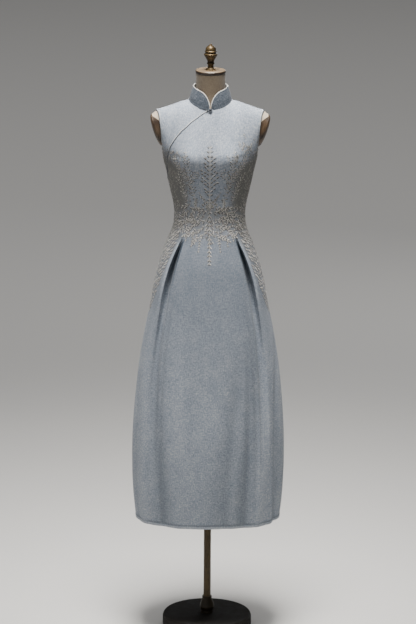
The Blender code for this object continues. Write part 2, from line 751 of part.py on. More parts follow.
def back_panel():
    """Whole back. Its columns reach round to the wearer's left seam, wherever that runs."""
    heights = [HEM, HEM + HEM_LIP_HEIGHT, HEM + HEM_LIP_HEIGHT + HEM_LIP_FADE, *SKIRT_ROWS]
    heights += bodice_heights()
    places = []
    for height in heights:
        level = min(height, UNDERARM)
        far = [180.0 + a for a in quarter_angles(level, 0.0, BACK_SIDE_SPACING, BACK_CENTRE_SPACING)]
        near_seam = -seam_angle(height)
        near = quarter_angles(level, near_seam, BACK_SIDE_SPACING, BACK_CENTRE_SPACING)
        row = far + [360.0 - a for a in near[-2::-1]]
        if height > UNDERARM:
            row[0] += SEAM_EDGE
            row[-1] -= SEAM_EDGE
        places.append([(a, height) for a in row])
    outer, inner = cloth_grids(places, flat, hem_lip, ("start", "end", "top"))
    for grid in (outer, inner):
        for column, (angle, _) in enumerate(places[0]):
            away = abs(angle - 360.0 - seam_angle(HEM))
            for row in range(3):
                grid[row][column].z += HEM_STEP * bell(away, HEM_STEP_SPREAD)
    return wall("back_panel", outer, inner, "dress_linen")


# ---- collar, pipings and frog ----

def collar_loop(turn, rise):
    """A point of the collar's outer face; turn is 0 at centre front and 180 at centre back."""
    front = turn <= 90.0
    share = (turn if front else 180.0 - turn) / 90.0 * NECK_SHARE
    base = top_edge(share, front)
    around = math.radians(turn)
    reach = COLLAR_FRONT if front else COLLAR_BACK
    middle = COLLAR_FRONT_HEIGHT if front else COLLAR_BACK_HEIGHT
    lift = abs(math.cos(around)) ** 1.5
    top = Vector((
        COLLAR_HALF_WIDTH * math.sin(around),
        -reach * math.cos(around),
        blend(COLLAR_SIDE_HEIGHT, middle, lift),
    ))
    point = base.lerp(top, rise)
    away = Vector((math.sin(around), -math.cos(around), 0.0))
    return point + away * COLLAR_BULGE * math.sin(math.pi * rise)


def collar_length(turn):
    """Roughly how far round the collar a place is from centre front."""
    return math.radians(turn) * (NECK_HALF_WIDTH + NECK_FRONT) / 2


def collar_top_share(turn):
    """How high the collar stands there, as a share of its full height."""
    run = min((collar_length(turn) - COLLAR_OPENING) / COLLAR_END_LENGTH, 1.0)
    curve = (1 - (1 - max(run, 0.0)) ** COLLAR_END_ROUNDNESS) ** (1 / COLLAR_END_ROUNDNESS)
    return max(curve, COLLAR_END_HEIGHT)


def collar_turns():
    """Places round half of the collar: close together at its rounded end."""
    first = math.degrees(COLLAR_OPENING / ((NECK_HALF_WIDTH + NECK_FRONT) / 2))
    return [first, first + 1.2, first + 3.0, 7.5, 11.0, 16.0, 23.0, 31.0, 41.0, 53.0, 67.0,
            82.0, 97.0, 111.0, 125.0, 139.0, 153.0, 167.0, 180.0]


def collar_point(side, turn, rise):
    point = collar_loop(turn, rise)
    return Vector((side * point.x, point.y, point.z))


def stand_collar():
    """One band round the neck, open at centre front."""
    turns = collar_turns()
    around = [(1.0, t) for t in turns] + [(-1.0, t) for t in turns[-2::-1]]
    outer, inner = [], []
    for level in (0.0, 0.33, 0.67, 1.0):
        outer_row, inner_row = [], []
        for side, turn in around:
            rise = level * collar_top_share(turn)
            point = collar_point(side, turn, rise)
            angle = math.radians(turn)
            away = Vector((side * math.sin(angle), -math.cos(angle), 0.0))
            lift = Vector((0.0, 0.0, COLLAR_LIFT))
            outer_row.append(point + lift)
            inner_row.append(point + lift - away * COLLAR_WALL)
        outer.append(outer_row)
        inner.append(inner_row)
    return wall("stand_collar", outer, inner, "collar_linen")


def collar_piping():
    """Edging on the collar's top edge and down its two rounded ends."""
    line = []
    turns = collar_turns()
    for side, order in ((1.0, turns), (-1.0, turns[-2::-1])):
        for turn in order:
            angle = math.radians(turn)
            away = Vector((side * math.sin(angle), -math.cos(angle), 0.0))
            top = collar_point(side, turn, collar_top_share(turn))
            line.append(top + Vector((0.0, 0.0, COLLAR_LIFT)) - away * COLLAR_WALL / 2)
    raised = []
    for i, point in enumerate(line):
        before, after = line[max(i - 1, 0)], line[min(i + 1, len(line) - 1)]
        tangent = (after - before).normalized()
        away = Vector((point.x, point.y, 0.0)).normalized()
        up = away.cross(tangent)
        if up.z < 0:
            up = -up
        raised.append(point + up.normalized() * (PIPING_RADIUS + GAP))
    return tube("collar_piping", raised, PIPING_RADIUS, 6, "pale_piping")


def opening_piping():
    """The cord that edges the diagonal opening, lying on the under panel against the front's edge."""
    places = []
    for from_side in quarter_angles(UNDERARM, 0.0, SIDE_SPACING, CENTRE_SPACING)[-2:0:-1]:
        places.append((180.0 - from_side, opening_height(90.0 - from_side)))
    edge = [outside(angle, height) for angle, height in places]
    line = []
    for i, point in enumerate(edge):
        tangent = (edge[min(i + 1, len(edge) - 1)] - edge[max(i - 1, 0)]).normalized()
        normal = outward(*places[i])
        off = tangent.cross(normal).normalized()
        if off.z < 0:
            off = -off
        line.append(point + off * (CORD_RADIUS + 2 * GAP) + normal * (CORD_RADIUS + GAP - WALL))
    return tube("opening_piping", line, CORD_RADIUS, 6, "grey_cord")


def armhole_binding(name, side):
    """Edging round one armhole, just off the cut edges of the front and the back."""
    places = []
    for front in (True, False):
        rises = (0.0, *CHEST_ROWS)
        for rise in rises if front else rises[-2:0:-1]:
            edge = 0.0 if side > 0 else 180.0
            if not front:
                edge = 360.0 - SEAM_EDGE if side > 0 else 180.0 + SEAM_EDGE
            places.append((edge, blend(UNDERARM + SEAM_EDGE, TOP, float(rise))))
    points = [outside(angle, height) for angle, height in places]
    line = []
    for i, point in enumerate(points):
        tangent = (points[(i + 1) % len(points)] - points[i - 1]).normalized()
        normal = outward(*places[i])
        off = tangent.cross(normal).normalized()
        middle = Vector((side * ARMHOLE_MIDDLE, 0.0, ARMHOLE_MIDDLE_HEIGHT))
        if off.dot(middle - point) < 0:
            off = -off
        line.append(point + off * (BINDING_RADIUS + 2 * GAP) - normal * WALL / 2)
    return tube(name, line, BINDING_RADIUS, 6, "collar_linen", closed=True)


def ball(name, centre, radius, material_name):
    bm = bmesh.new()
    bmesh.ops.create_uvsphere(bm, u_segments=12, v_segments=8, radius=radius)
    bmesh.ops.translate(bm, verts=bm.verts, vec=centre)
    return add_object(name, bm, material_name)


def frog():
    """The knotted ball at the base of the collar, the loop round it and the knot beside it."""
    forward = outward(90.0, TOP)
    seat = outside(90.0, TOP) + Vector((0.0, 0.0, -FROG_DROP))
    ball_at = seat + forward * (FROG_BALL_RADIUS + FROG_STAND)
    ball("frog_ball", ball_at, FROG_BALL_RADIUS, "frog_dark")
    reach = FROG_BALL_RADIUS + FROG_CORD_RADIUS + GAP
    up = forward.cross(Vector((-1.0, 0.0, 0.0))).normalized()
    line = []
    for i in range(FROG_LOOP_STEPS):
        turn = 2 * math.pi * i / FROG_LOOP_STEPS
        line.append(ball_at + Vector((reach * math.cos(turn), 0.0, 0.0)) + up * reach * math.sin(turn))
    tube("frog_loop", line, FROG_CORD_RADIUS, 6, "pale_piping", closed=True)
    knot_reach = reach + FROG_CORD_RADIUS + FROG_KNOT_RADIUS + GAP
    knot_at = ball_at + Vector((-knot_reach, 0.0, FROG_KNOT_LIFT))
    ball("frog_knot", knot_at, FROG_KNOT_RADIUS, "frog_dark")


# ---- the dress form and its stand ----

def arm_plate_frame(side):
    """Centre, long direction and outward direction of one arm plate."""
    along = Vector((side * math.sin(ARM_PLATE_TILT), 0.0, math.cos(ARM_PLATE_TILT)))
    away = Vector((side * math.cos(ARM_PLATE_TILT), 0.0, -math.sin(ARM_PLATE_TILT)))
    top = Vector((side * ARM_PLATE_TOP, 0.0, ARM_PLATE_TOP_HEIGHT))
    return top - along * ARM_PLATE_HALF_LENGTH, along, away


def arm_plate_loop(side, turn, share=1.0, lift=0.0):
    """A point of the plate's outline: turn is 0 at its lowest point, 90 degrees at the front."""
    centre, along, away = arm_plate_frame(side)
    up = -math.cos(turn) * ARM_PLATE_HALF_LENGTH * share
    return centre + along * up + away * lift + Vector(
        (0.0, -math.sin(turn) * ARM_PLATE_HALF_WIDTH * share, 0.0)
    )


def form_torso():
    """The padded torso with its neck and two arm stubs, one closed skin."""
    bm = bmesh.new()
    quarter_columns = list(FORM_ANGLES)
    front = quarter_columns + [180.0 - a for a in quarter_columns[-2::-1]]
    back = [180.0 + SEAM_EDGE] + [180.0 + a for a in front[1:-1]] + [360.0 - SEAM_EDGE]
    around = front + back[1:-1]

    rings = []
    for height in (*FORM_HIP_ROWS, UNDERARM):
        rings.append([bm.verts.new(form_surface(a, height)) for a in around])
    grid_faces(bm, rings, wrap=True)
    bm.faces.new(rings[0])

    rises = [i / FORM_CHEST_ROWS for i in range(FORM_CHEST_ROWS + 1)]
    sheets = []
    for angles in (front, back):
        sheet = []
        for rise in rises:
            height = blend(UNDERARM, TOP, rise)
            sheet.append([bm.verts.new(form_surface(a, height)) for a in angles])
        grid_faces(bm, sheet)
        sheets.append(sheet)

    for side, column in ((1.0, 0), (-1.0, len(front) - 1)):
        front_edge = [row[column] for row in sheets[0]]
        back_edge = [row[len(back) - 1 - column] for row in sheets[1]]
        loop = front_edge + back_edge[-2:0:-1]
        ends = []
        for i in range(len(loop)):
            turn = math.pi * i / FORM_CHEST_ROWS
            ends.append(arm_plate_loop(side, turn))
        middle_ring = [bm.verts.new(v.co.lerp(end, 0.5)) for v, end in zip(loop, ends)]
        end_ring = [bm.verts.new(end) for end in ends]
        grid_faces(bm, [loop, middle_ring, end_ring], wrap=True)
        bm.faces.new(end_ring)

    corner = quarter_columns.index(90.0 * (1 - NECK_SHARE))
    neckline = sheets[0][-1][corner:len(front) - corner] + sheets[1][-1][corner + 1:len(back) - corner - 1]
    rings = [neckline]
    for i in range(1, NECK_RINGS + 1):
        share = i / NECK_RINGS
        slim = 1 - (1 - min(share / NECK_SLIM_SHARE, 1.0)) ** 2
        ring = []
        for v in neckline:
            level = Vector((v.co.x, v.co.y, 0.0))
            point = level.lerp(level.normalized() * NECK_RADIUS, slim)
            point.z = blend(v.co.z, NECK_TOP, share)
            ring.append(bm.verts.new(point))
        rings.append(ring)
    grid_faces(bm, rings, wrap=True)
    bm.faces.new(rings[-1])
    bmesh.ops.remove_doubles(bm, verts=bm.verts, dist=WELD)
    return add_object("form_torso", bm, "form_linen")


def arm_plate(name, side):
    """The domed wooden plate that closes an arm stub."""
    bm = bmesh.new()
    rings = []
    levels = ((1.0, GAP), (1.0, GAP + ARM_PLATE_RIM))
    for i in (1, 2, 3):
        share = math.cos(math.radians(ARM_PLATE_DOME_STEP * i))
        lift = GAP + ARM_PLATE_RIM + ARM_PLATE_DOME * math.sin(math.radians(ARM_PLATE_DOME_STEP * i))
        levels += ((share, lift),)
    for share, lift in levels:
        ring = []
        for k in range(ARM_PLATE_SEGMENTS):
            turn = 2 * math.pi * k / ARM_PLATE_SEGMENTS
            ring.append(bm.verts.new(arm_plate_loop(side, turn, share, lift)))
        rings.append(ring)
    grid_faces(bm, rings, wrap=True)
    bm.faces.new(rings[0])
    bm.faces.new(rings[-1])
    return add_object(name, bm, "dark_wood")


def stand():
    """Base, socket, pole, and the cap and finial on the neck, all turned round one axis."""
    base = (
        (BASE_RADIUS - BASE_EDGE, 0.0),
        (BASE_RADIUS, BASE_EDGE),
        (BASE_RADIUS, BASE_THICKNESS - BASE_EDGE),
        (BASE_RADIUS - BASE_EDGE, BASE_THICKNESS),
    )
    turned("stand_base", base, 0.0, 72, "base_iron")
    socket_seat = BASE_THICKNESS + GAP
    turned("pole_socket", SOCKET, socket_seat, 28, "pole_bronze", (POLE_RADIUS + GAP, POLE_SEAT))
    pole_foot = socket_seat + SOCKET[-1][1] - POLE_SEAT + GAP
    pole_top = FORM_HIPS[0][0] - GAP
    pole = ((POLE_RADIUS, pole_foot), (POLE_RADIUS, pole_top))
    turned("pole", pole, 0.0, 28, "pole_bronze")
    cap_edge = CAP_THICKNESS / 5
    cap = (
        (CAP_RADIUS - cap_edge / 2, 0.0),
        (CAP_RADIUS, cap_edge),
        (CAP_RADIUS, CAP_THICKNESS - cap_edge),
        (CAP_RADIUS - cap_edge, CAP_THICKNESS),
    )
    turned("neck_cap", cap, NECK_TOP + GAP, 48, "cap_wood")
    turned("finial", FINIAL, NECK_TOP + 2 * GAP + CAP_THICKNESS, 24, "bronze")


front_panel()
under_panel()
back_panel()
stand_collar()
collar_piping()
opening_piping()
armhole_binding("armhole_binding_left", 1.0)
armhole_binding("armhole_binding_right", -1.0)
frog()
form_torso()
arm_plate("arm_plate_left", 1.0)
arm_plate("arm_plate_right", -1.0)
stand()
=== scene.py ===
"""Looks for the cheongsam on its dress form: finer cloth on the frame's forms, embroidery, sewing,
materials, light and camera. Metres, +Z up, the dress faces -Y, the wearer's left is at +X.

Cloth lies on one surface, body_surface(angle, height): degrees round the body from the side seam at +X (0)
over centre front (90), the other side seam (180) and centre back (270). Height is real up to the
underarm and runs on above it to TOP, the neckline or shoulder seam.
"""

import math

import bmesh
import bpy
import numpy as np
from mathutils import Matrix, Vector


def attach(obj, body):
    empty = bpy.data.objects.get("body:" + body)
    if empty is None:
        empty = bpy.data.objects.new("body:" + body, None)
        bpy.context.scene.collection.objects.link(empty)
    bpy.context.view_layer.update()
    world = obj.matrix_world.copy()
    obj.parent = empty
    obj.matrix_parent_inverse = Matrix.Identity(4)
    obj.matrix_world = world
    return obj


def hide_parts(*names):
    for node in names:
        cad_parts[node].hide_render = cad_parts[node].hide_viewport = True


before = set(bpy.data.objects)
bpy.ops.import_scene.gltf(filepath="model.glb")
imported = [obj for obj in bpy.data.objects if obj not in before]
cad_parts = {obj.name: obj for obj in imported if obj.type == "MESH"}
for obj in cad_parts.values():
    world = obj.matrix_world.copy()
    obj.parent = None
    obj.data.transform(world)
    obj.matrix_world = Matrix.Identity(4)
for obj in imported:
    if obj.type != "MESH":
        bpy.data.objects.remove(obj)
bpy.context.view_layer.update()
RNG = np.random.default_rng(7)
SIDES = (("left", 1), ("right", -1))
LEVEL_PART = np.array([1.0, 1.0, 0.0])  # keeps what is across and drops the height

# ---------------------------------------------------------------- sizes of the cloth surface

HEM, UNDERARM, CHEST_RISE = 0.365, 1.5575, 0.14
TOP = UNDERARM + CHEST_RISE
SQUARENESS, FORM_SQUARENESS, SHOULDER_ROUNDNESS = 2.25, 2.12, 2.3
WALL = 0.0014
SECTIONS = (  # height, half width, front, back
    (HEM, 0.2290, 0.1530, 0.1550), (0.4450, 0.2370, 0.1650, 0.1660), (0.6000, 0.2410, 0.1735, 0.1735),
    (0.7700, 0.2315, 0.1700, 0.1710), (0.8750, 0.2200, 0.1660, 0.1670), (0.9750, 0.2035, 0.1590, 0.1600),
    (1.0550, 0.1870, 0.1500, 0.1530), (1.1550, 0.1680, 0.1350, 0.1410), (1.2150, 0.1515, 0.1240, 0.1270),
    (1.2650, 0.1335, 0.1110, 0.1110), (1.2920, 0.1220, 0.1020, 0.1000), (1.3200, 0.1135, 0.0930, 0.0890),
    (1.3500, 0.1105, 0.0880, 0.0810), (1.3850, 0.1130, 0.0900, 0.0800), (1.4300, 0.1230, 0.0980, 0.0860),
    (1.4970, 0.1375, 0.1110, 0.0980), (1.5450, 0.1475, 0.1170, 0.1060), (UNDERARM, 0.1480, 0.1165, 0.1065),
)
FORM_SECTIONS = (  # height, half width, front, back
    (1.0450, 0.1200, 0.0720, 0.0880), (1.0520, 0.1380, 0.0870, 0.1040), (1.0720, 0.1500, 0.0960, 0.1140),
    (1.1200, 0.1530, 0.0985, 0.1170), (1.1800, 0.1480, 0.0970, 0.1130), (1.2400, 0.1320, 0.0940, 0.1020),
    (1.2920, 0.1160, 0.0925, 0.0930), (1.3200, 0.1085, 0.0870, 0.0835), (1.3500, 0.1055, 0.0830, 0.0760),
    (1.3850, 0.1080, 0.0850, 0.0750), (1.4300, 0.1180, 0.0930, 0.0810), (1.4970, 0.1325, 0.1060, 0.0930),
    (1.5450, 0.1425, 0.1120, 0.1010), (UNDERARM, 0.1430, 0.1115, 0.1015),
)
NECK_SHARE, NECK_HALF_WIDTH, NECK_FRONT, NECK_BACK = 0.40, 0.067, 0.062, 0.057
NECK_FRONT_HEIGHT, NECK_SIDE_HEIGHT, NECK_BACK_HEIGHT = 1.693, 1.715, 1.724
SHOULDER_TIP, SHOULDER_TIP_HEIGHT, SHOULDER_HOLLOW = 0.166, 1.6833, 0.002
ARMHOLE_FRONT, ARMHOLE_BACK = 0.046, 0.042
BUST_HEIGHT, BUST_APEX, BUST_FULLNESS, BUST_ACROSS, BUST_UP = 1.545, 0.062, 0.012, 0.040, 0.042
PLEAT = (  # height, inner angle, outer angle, depth, lip
    (0.4500, 50.0, 39.0, 0.0000, 0.0000), (0.6000, 49.5, 38.5, 0.0040, 0.0000),
    (0.7800, 48.5, 37.5, 0.0080, 0.0010), (0.9400, 47.2, 36.6, 0.0130, 0.0020),
    (1.0400, 46.2, 36.4, 0.0200, 0.0030), (1.1000, 46.8, 37.2, 0.0250, 0.0040),
    (1.1600, 48.3, 38.8, 0.0260, 0.0040), (1.2100, 49.5, 40.9, 0.0225, 0.0030),
    (1.2500, 50.8, 43.8, 0.0150, 0.0020), (1.2760, 51.4, 46.4, 0.0070, 0.0010),
    (1.2960, 51.2, 47.4, 0.0000, 0.0000), (1.3250, 50.0, 44.0, 0.0000, 0.0000),
    (1.3800, 50.5, 41.4, 0.0000, 0.0000), (1.4600, 54.0, 41.4, 0.0000, 0.0000),
    (UNDERARM, 54.0, 41.4, 0.0000, 0.0000),
)
PLEAT_ACROSS = (0.0, 0.07, 0.15, 0.25, 0.36, 0.48, 0.60, 0.72, 0.83, 0.90, 0.95, 0.98, 1.0)
PLEAT_SUNK = (0.0, 0.10, 0.32, 0.62, 0.84, 0.95, 1.0, 0.98, 0.88, 0.66, 0.38, 0.16, 0.0)
BACK_PLEAT_SHARE, PLEAT_SIDEWAYS, LIP_SPREAD = 0.6, 0.2, 5.0
FOLDS = (  # top, bottom, angle at top, angle at bottom, spread, depth: the frame's own soft folds
    (1.08, 0.48, 45.0, 64.0, 7.0, 0.0065), (1.00, 0.50, 62.0, 82.0, 8.0, 0.0040),
    (1.02, 0.38, 33.0, 50.0, 5.5, -0.0040), (1.10, 0.46, 140.0, 125.0, 8.0, 0.0075),
    (1.08, 0.40, 152.0, 148.0, 6.0, -0.0035), (1.05, 0.45, 116.0, 106.0, 7.0, -0.0025),
    (1.06, 0.42, 222.0, 216.0, 7.0, 0.0055), (1.10, 0.40, 248.0, 240.0, 8.0, -0.0040),
    (1.05, 0.38, 292.0, 300.0, 7.0, 0.0045), (1.00, 0.42, 322.0, 330.0, 6.0, -0.0040),
)
CREASES = (  # the same columns: finer creases that only the cloth here has
    (1.27, 0.95, 53.5, 53.0, 1.6, 0.0012), (1.25, 0.98, 126.5, 127.5, 1.5, 0.0012),
    (1.10, 0.70, 57.0, 61.0, 2.4, 0.0016), (0.98, 0.52, 52.0, 60.0, 2.2, -0.0013),
    (0.92, 0.50, 70.0, 78.0, 3.0, 0.0014), (1.06, 0.74, 133.0, 129.0, 2.2, -0.0012),
    (0.88, 0.46, 143.0, 140.0, 2.6, 0.0012), (0.96, 0.60, 162.0, 160.0, 3.0, 0.0014),
    (0.90, 0.42, 100.0, 104.0, 5.0, 0.0012), (1.00, 0.56, 24.0, 27.0, 2.2, 0.0013),
    (1.24, 0.90, 232.0, 230.0, 1.8, 0.0012), (1.22, 0.92, 308.0, 311.0, 1.8, 0.0012),
    (0.94, 0.50, 262.0, 266.0, 4.0, 0.0014), (0.90, 0.55, 206.0, 203.0, 2.6, 0.0013),
    (0.86, 0.48, 338.0, 341.0, 2.8, 0.0014), (1.00, 0.62, 280.0, 276.0, 3.0, -0.0012),
)
LEFT_SEAM = ((HEM, 25.0), (0.45, 29.0), (0.60, 31.0), (0.80, 24.0), (0.93, 12.0), (1.02, 0.0))
SEAM_CREASE, SEAM_CREASE_SPREAD = 0.003, 4.0
HEM_STEP, HEM_STEP_SPREAD = 0.004, 25.0
HEM_LIP_HEIGHT, HEM_LIP_THICKNESS = 0.0075, 0.0008
OPENING = (  # degrees past centre front, height of the diagonal opening's edge
    (0.0, TOP), (5.7, 1.6872), (16.0, 1.6612), (28.5, 1.6240), (40.0, 1.6040), (50.0, 1.5870),
    (55.5, 1.5725), (59.5, 1.5510), (67.0, 1.5160), (78.0, 1.4770), (90.0, 1.4620),
)
UNDERLAP, UNDER_LAP_DEPTH, UNDER_LAP_WIDTH = 0.024, 0.0018, 0.030


# ---------------------------------------------------------------- the surface, worked out on arrays

def table_curve(rows, column):
    at = np.array([row[0] for row in rows], float)
    value = np.array([row[column] for row in rows], float)
    slope = np.gradient(value, at)

    def read(x):
        x = np.clip(x, at[0], at[-1])
        i = np.clip(np.searchsorted(at, x) - 1, 0, len(at) - 2)
        span = at[i + 1] - at[i]
        t = (x - at[i]) / span
        rise = value[i] * (1 + 2 * t) * (1 - t) ** 2 + value[i + 1] * t * t * (3 - 2 * t)
        return rise + span * (slope[i] * t * (1 - t) ** 2 - slope[i + 1] * t * t * (1 - t))

    return read


def ease(x):
    x = np.clip(x, 0.0, 1.0)
    return x * x * (3 - 2 * x)


def blend(a, b, share):
    return a + (b - a) * share


def bell(x, spread):
    return np.exp(-((x / spread) ** 2))


dress_half, dress_front, dress_back = (table_curve(SECTIONS, i) for i in (1, 2, 3))
form_half, form_front, form_back = (table_curve(FORM_SECTIONS, i) for i in (1, 2, 3))
pleat_inner, pleat_outer, pleat_deep, pleat_lip = (table_curve(PLEAT, i) for i in (1, 2, 3, 4))
opening_height = table_curve(OPENING, 1)
left_seam_angle = table_curve(LEFT_SEAM, 1)


def seam_angle(height):
    height = np.asarray(height, float)
    return np.where(height >= LEFT_SEAM[-1][0], 0.0, np.maximum(left_seam_angle(height), 0.0))


def quarter(angle):
    angle = np.mod(angle, 360.0)
    front = angle <= 180.0
    around = np.where(front, angle, 360.0 - angle)
    near = around <= 90.0
    return np.where(near, around, 180.0 - around), np.where(near, 1.0, -1.0), front


def pleat_inset(angle, height):
    """How far a pleat folds in there and how far its lip stands proud."""
    from_side, _, front = quarter(angle)
    inner, outer = pleat_inner(height), pleat_outer(height)
    across = (from_side - outer) / (inner - outer)
    share = np.where(front, 1.0, BACK_PLEAT_SHARE)
    sunk = np.interp(across, PLEAT_ACROSS, PLEAT_SUNK, left=0.0, right=0.0)
    fade = np.where(across <= 0.0, bell(from_side - outer, LIP_SPREAD), np.maximum(0.0, 1 - across))
    return share * pleat_deep(height) * sunk, share * pleat_lip(height) * fade


def folds_inset(angle, height, table):
    inset = np.zeros(np.broadcast(angle, height).shape)
    for top, bottom, angle_top, angle_bottom, spread, depth in table:
        down = np.clip((top - height) / (top - bottom), 0.0, 1.0)
        at = blend(angle_top, angle_bottom, down)
        inset = inset + depth * np.sin(down * math.pi / 2) * bell(angle - at, spread)
    return inset


def seam_crease(angle, height):
    seam = seam_angle(height)
    away = np.mod(angle - seam + 180.0, 360.0) - 180.0
    return SEAM_CREASE * ease(seam / 20.0) * bell(away, SEAM_CREASE_SPREAD)


def bust(x, height):
    return BUST_FULLNESS * bell(np.abs(x) - BUST_APEX, BUST_ACROSS) * bell(height - BUST_HEIGHT, BUST_UP)


def section(from_side, half, deep, squareness):
    power = 2.0 / squareness
    turn = np.radians(from_side)
    return half * np.clip(np.cos(turn), 0, 1) ** power, deep * np.clip(np.sin(turn), 0, 1) ** power


def top_edge(share, front, neck_room=0.0, shoulder_room=0.0):
    turn = np.clip(share / NECK_SHARE, 0.0, 1.0) * math.pi / 2
    reach = np.where(front, NECK_FRONT, NECK_BACK) - neck_room
    middle = np.where(front, NECK_FRONT_HEIGHT, NECK_BACK_HEIGHT)
    along = np.clip((share - NECK_SHARE) / (1 - NECK_SHARE), 0.0, 1.0)
    level = np.clip(np.cos(turn), 0, 1)
    on_neck = share <= NECK_SHARE
    width = NECK_HALF_WIDTH - neck_room
    x = np.where(on_neck, width * np.sin(turn), blend(width, SHOULDER_TIP, along))
    y = np.where(on_neck, reach * level, 0.0)
    slope = blend(NECK_SIDE_HEIGHT, SHOULDER_TIP_HEIGHT, along) - SHOULDER_HOLLOW * np.sin(math.pi * along)
    z = np.where(on_neck, blend(NECK_SIDE_HEIGHT, middle, level**1.5), slope) - shoulder_room
    return x, y, z


def body_surface(angle, height, dressed=True, neck_room=0.0, shoulder_room=0.0, armhole_room=0.0):
    """Points of the dress's outer surface, or of the form under it, for arrays of places."""
    angle, height = np.broadcast_arrays(np.asarray(angle, float), np.asarray(height, float))
    from_side, side, front = quarter(angle)
    level = np.minimum(height, UNDERARM)
    if dressed:
        half, squareness = dress_half(level), SQUARENESS
        deep = np.where(front, dress_front(level), dress_back(level))
    else:
        half, squareness = form_half(level), FORM_SQUARENESS
        deep = np.where(front, form_front(level), form_back(level))
    x, y = section(from_side, half, deep, squareness)
    low_x, low_y = x, y
    if dressed:
        nx = (x / half) ** (squareness - 1) / half
        ny = (y / deep) ** (squareness - 1) / deep
        length = np.hypot(nx, ny)
        pleat, lip = pleat_inset(angle, height)
        inset = folds_inset(angle, height, FOLDS) + seam_crease(angle, height) - lip
        low_x = x - nx / length * (inset + pleat * PLEAT_SIDEWAYS)
        low_y = y - ny / length * inset - pleat
    low_y = low_y + np.where(front, bust(low_x, height) * ease(from_side / 30.0), 0.0)

    share = 1.0 - from_side / 90.0
    rise = np.clip((height - UNDERARM) / CHEST_RISE, 0.0, 1.0)
    top_x, top_y, top_z = top_edge(share, front, neck_room, shoulder_room)
    roll = ease((share - 0.12) / 0.40)
    turn = rise * math.pi / 2
    power = 2.0 / SHOULDER_ROUNDNESS
    back_way = blend(rise**1.3, 1 - np.clip(np.cos(turn), 0, 1) ** power, roll)
    up_way = blend(rise, np.sin(turn) ** power, roll * ease(rise * 1.25))
    armhole = np.sqrt(np.clip(1 - (2 * up_way - 1) ** 2, 0, 1))
    high_x = blend(x, top_x, rise**1.6)
    high_z = blend(UNDERARM, top_z, up_way)
    forward = np.where(front, ARMHOLE_FRONT, ARMHOLE_BACK) - armhole_room
    high_y = blend(y, top_y, back_way) + forward * armhole * share**3
    swell = bust(high_x, high_z) * ease(from_side / 30.0) * ease((1 - rise) / 0.15)
    high_y = high_y + np.where(front, swell, 0.0)

    upper = height > UNDERARM
    x = np.where(upper, high_x, low_x)
    y = np.where(upper, high_y, low_y)
    z = np.where(upper, high_z, height)
    return np.stack([side * x, np.where(front, -y, y), z], axis=-1)


def unit(v):
    return v / np.maximum(np.linalg.norm(v, axis=-1, keepdims=True), 1e-12)


def surface_frame(angle, height):
    """Point, outward normal, unit directions to the wearer's left and up, and metres per unit of each."""
    step_a, step_h = 0.25, 0.0008
    angle, height = np.asarray(angle, float), np.asarray(height, float)
    point = body_surface(angle, height)
    right = body_surface(angle - step_a, height) - body_surface(angle + step_a, height)
    up = body_surface(angle, np.minimum(height + step_h, TOP)) - body_surface(angle, height - step_h)
    per_degree = np.linalg.norm(right, axis=-1) / (2 * step_a)
    per_height = np.linalg.norm(up, axis=-1) / (2 * step_h)
    normal = unit(np.cross(right, up))
    return point, normal, unit(right), unit(up), per_degree, per_height


# ---------------------------------------------------------------- meshes

def placed(name, data):
    """A new object with that data, in the scene."""
    made = bpy.data.objects.new(name, data)
    bpy.context.scene.collection.objects.link(made)
    return made


def full_turn(count):
    """Radians round a circle in even steps."""
    return np.linspace(0, 2 * math.pi, count, endpoint=False)


def make_mesh(name, points, faces, uv=None, floats=None, sharp=None, material=None):
    mesh = bpy.data.meshes.new(name)
    mesh.from_pydata(np.asarray(points, float).reshape(-1, 3).tolist(), [], faces)
    mesh.validate()
    if uv is not None:
        layer = mesh.uv_layers.new(name="cloth")
        index = np.empty(len(mesh.loops), np.int32)
        mesh.loops.foreach_get("vertex_index", index)
        layer.data.foreach_set("uv", np.asarray(uv, np.float32).reshape(-1, 2)[index].ravel())
    for key, values in (floats or {}).items():
        layer = mesh.attributes.new(key, "FLOAT", "POINT")
        layer.data.foreach_set("value", np.asarray(values, np.float32).ravel())
    mesh.shade_smooth()
    if sharp:
        mesh.set_sharp_from_angle(angle=math.radians(sharp))
    mesh.update()
    made = placed(name, mesh)
    if material:
        mesh.materials.append(material)
    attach(made, "root")
    return made


def grid_quads(rows, columns, start=0, wrap=False, flip=False):
    i, j = np.meshgrid(np.arange(rows - 1), np.arange(columns if wrap else columns - 1), indexing="ij")
    k = (j + 1) % columns
    quads = np.stack([i * columns + j, i * columns + k, (i + 1) * columns + k, (i + 1) * columns + j], -1)
    quads = quads.reshape(-1, 4) + start
    return (quads[:, ::-1] if flip else quads).tolist()


def grid_normals(points):
    """Outward normals of a grid whose columns run from +X over the front to -X and whose rows run up."""
    along = np.gradient(points, axis=1)
    up = np.gradient(points, axis=0)
    return unit(np.cross(up, along))


def thin_wall(name, outer, inner, material, uv=None, floats=None, wrap=False):
    """A closed shell between two grids."""
    rows, columns = outer.shape[:2]
    count = rows * columns
    faces = grid_quads(rows, columns, 0, wrap, True) + grid_quads(rows, columns, count, wrap)
    last = columns if wrap else columns - 1
    for j in range(last):
        k = (j + 1) % columns
        faces.append((j, k, k + count, j + count))
        top = (rows - 1) * columns
        faces.append((top + k, top + j, top + j + count, top + k + count))
    if not wrap:
        for i in range(rows - 1):
            a, b = i * columns, (i + 1) * columns
            faces.append((b, a, a + count, b + count))
            a, b = a + columns - 1, b + columns - 1
            faces.append((a, b, b + count, a + count))
    points = np.concatenate([outer.reshape(-1, 3), inner.reshape(-1, 3)])
    uv = None if uv is None else np.concatenate([uv.reshape(-1, 2)] * 2)
    floats = {k: np.concatenate([np.ravel(v)] * 2) for k, v in (floats or {}).items()}
    return make_mesh(name, points, faces, uv, floats, 60.0, material)


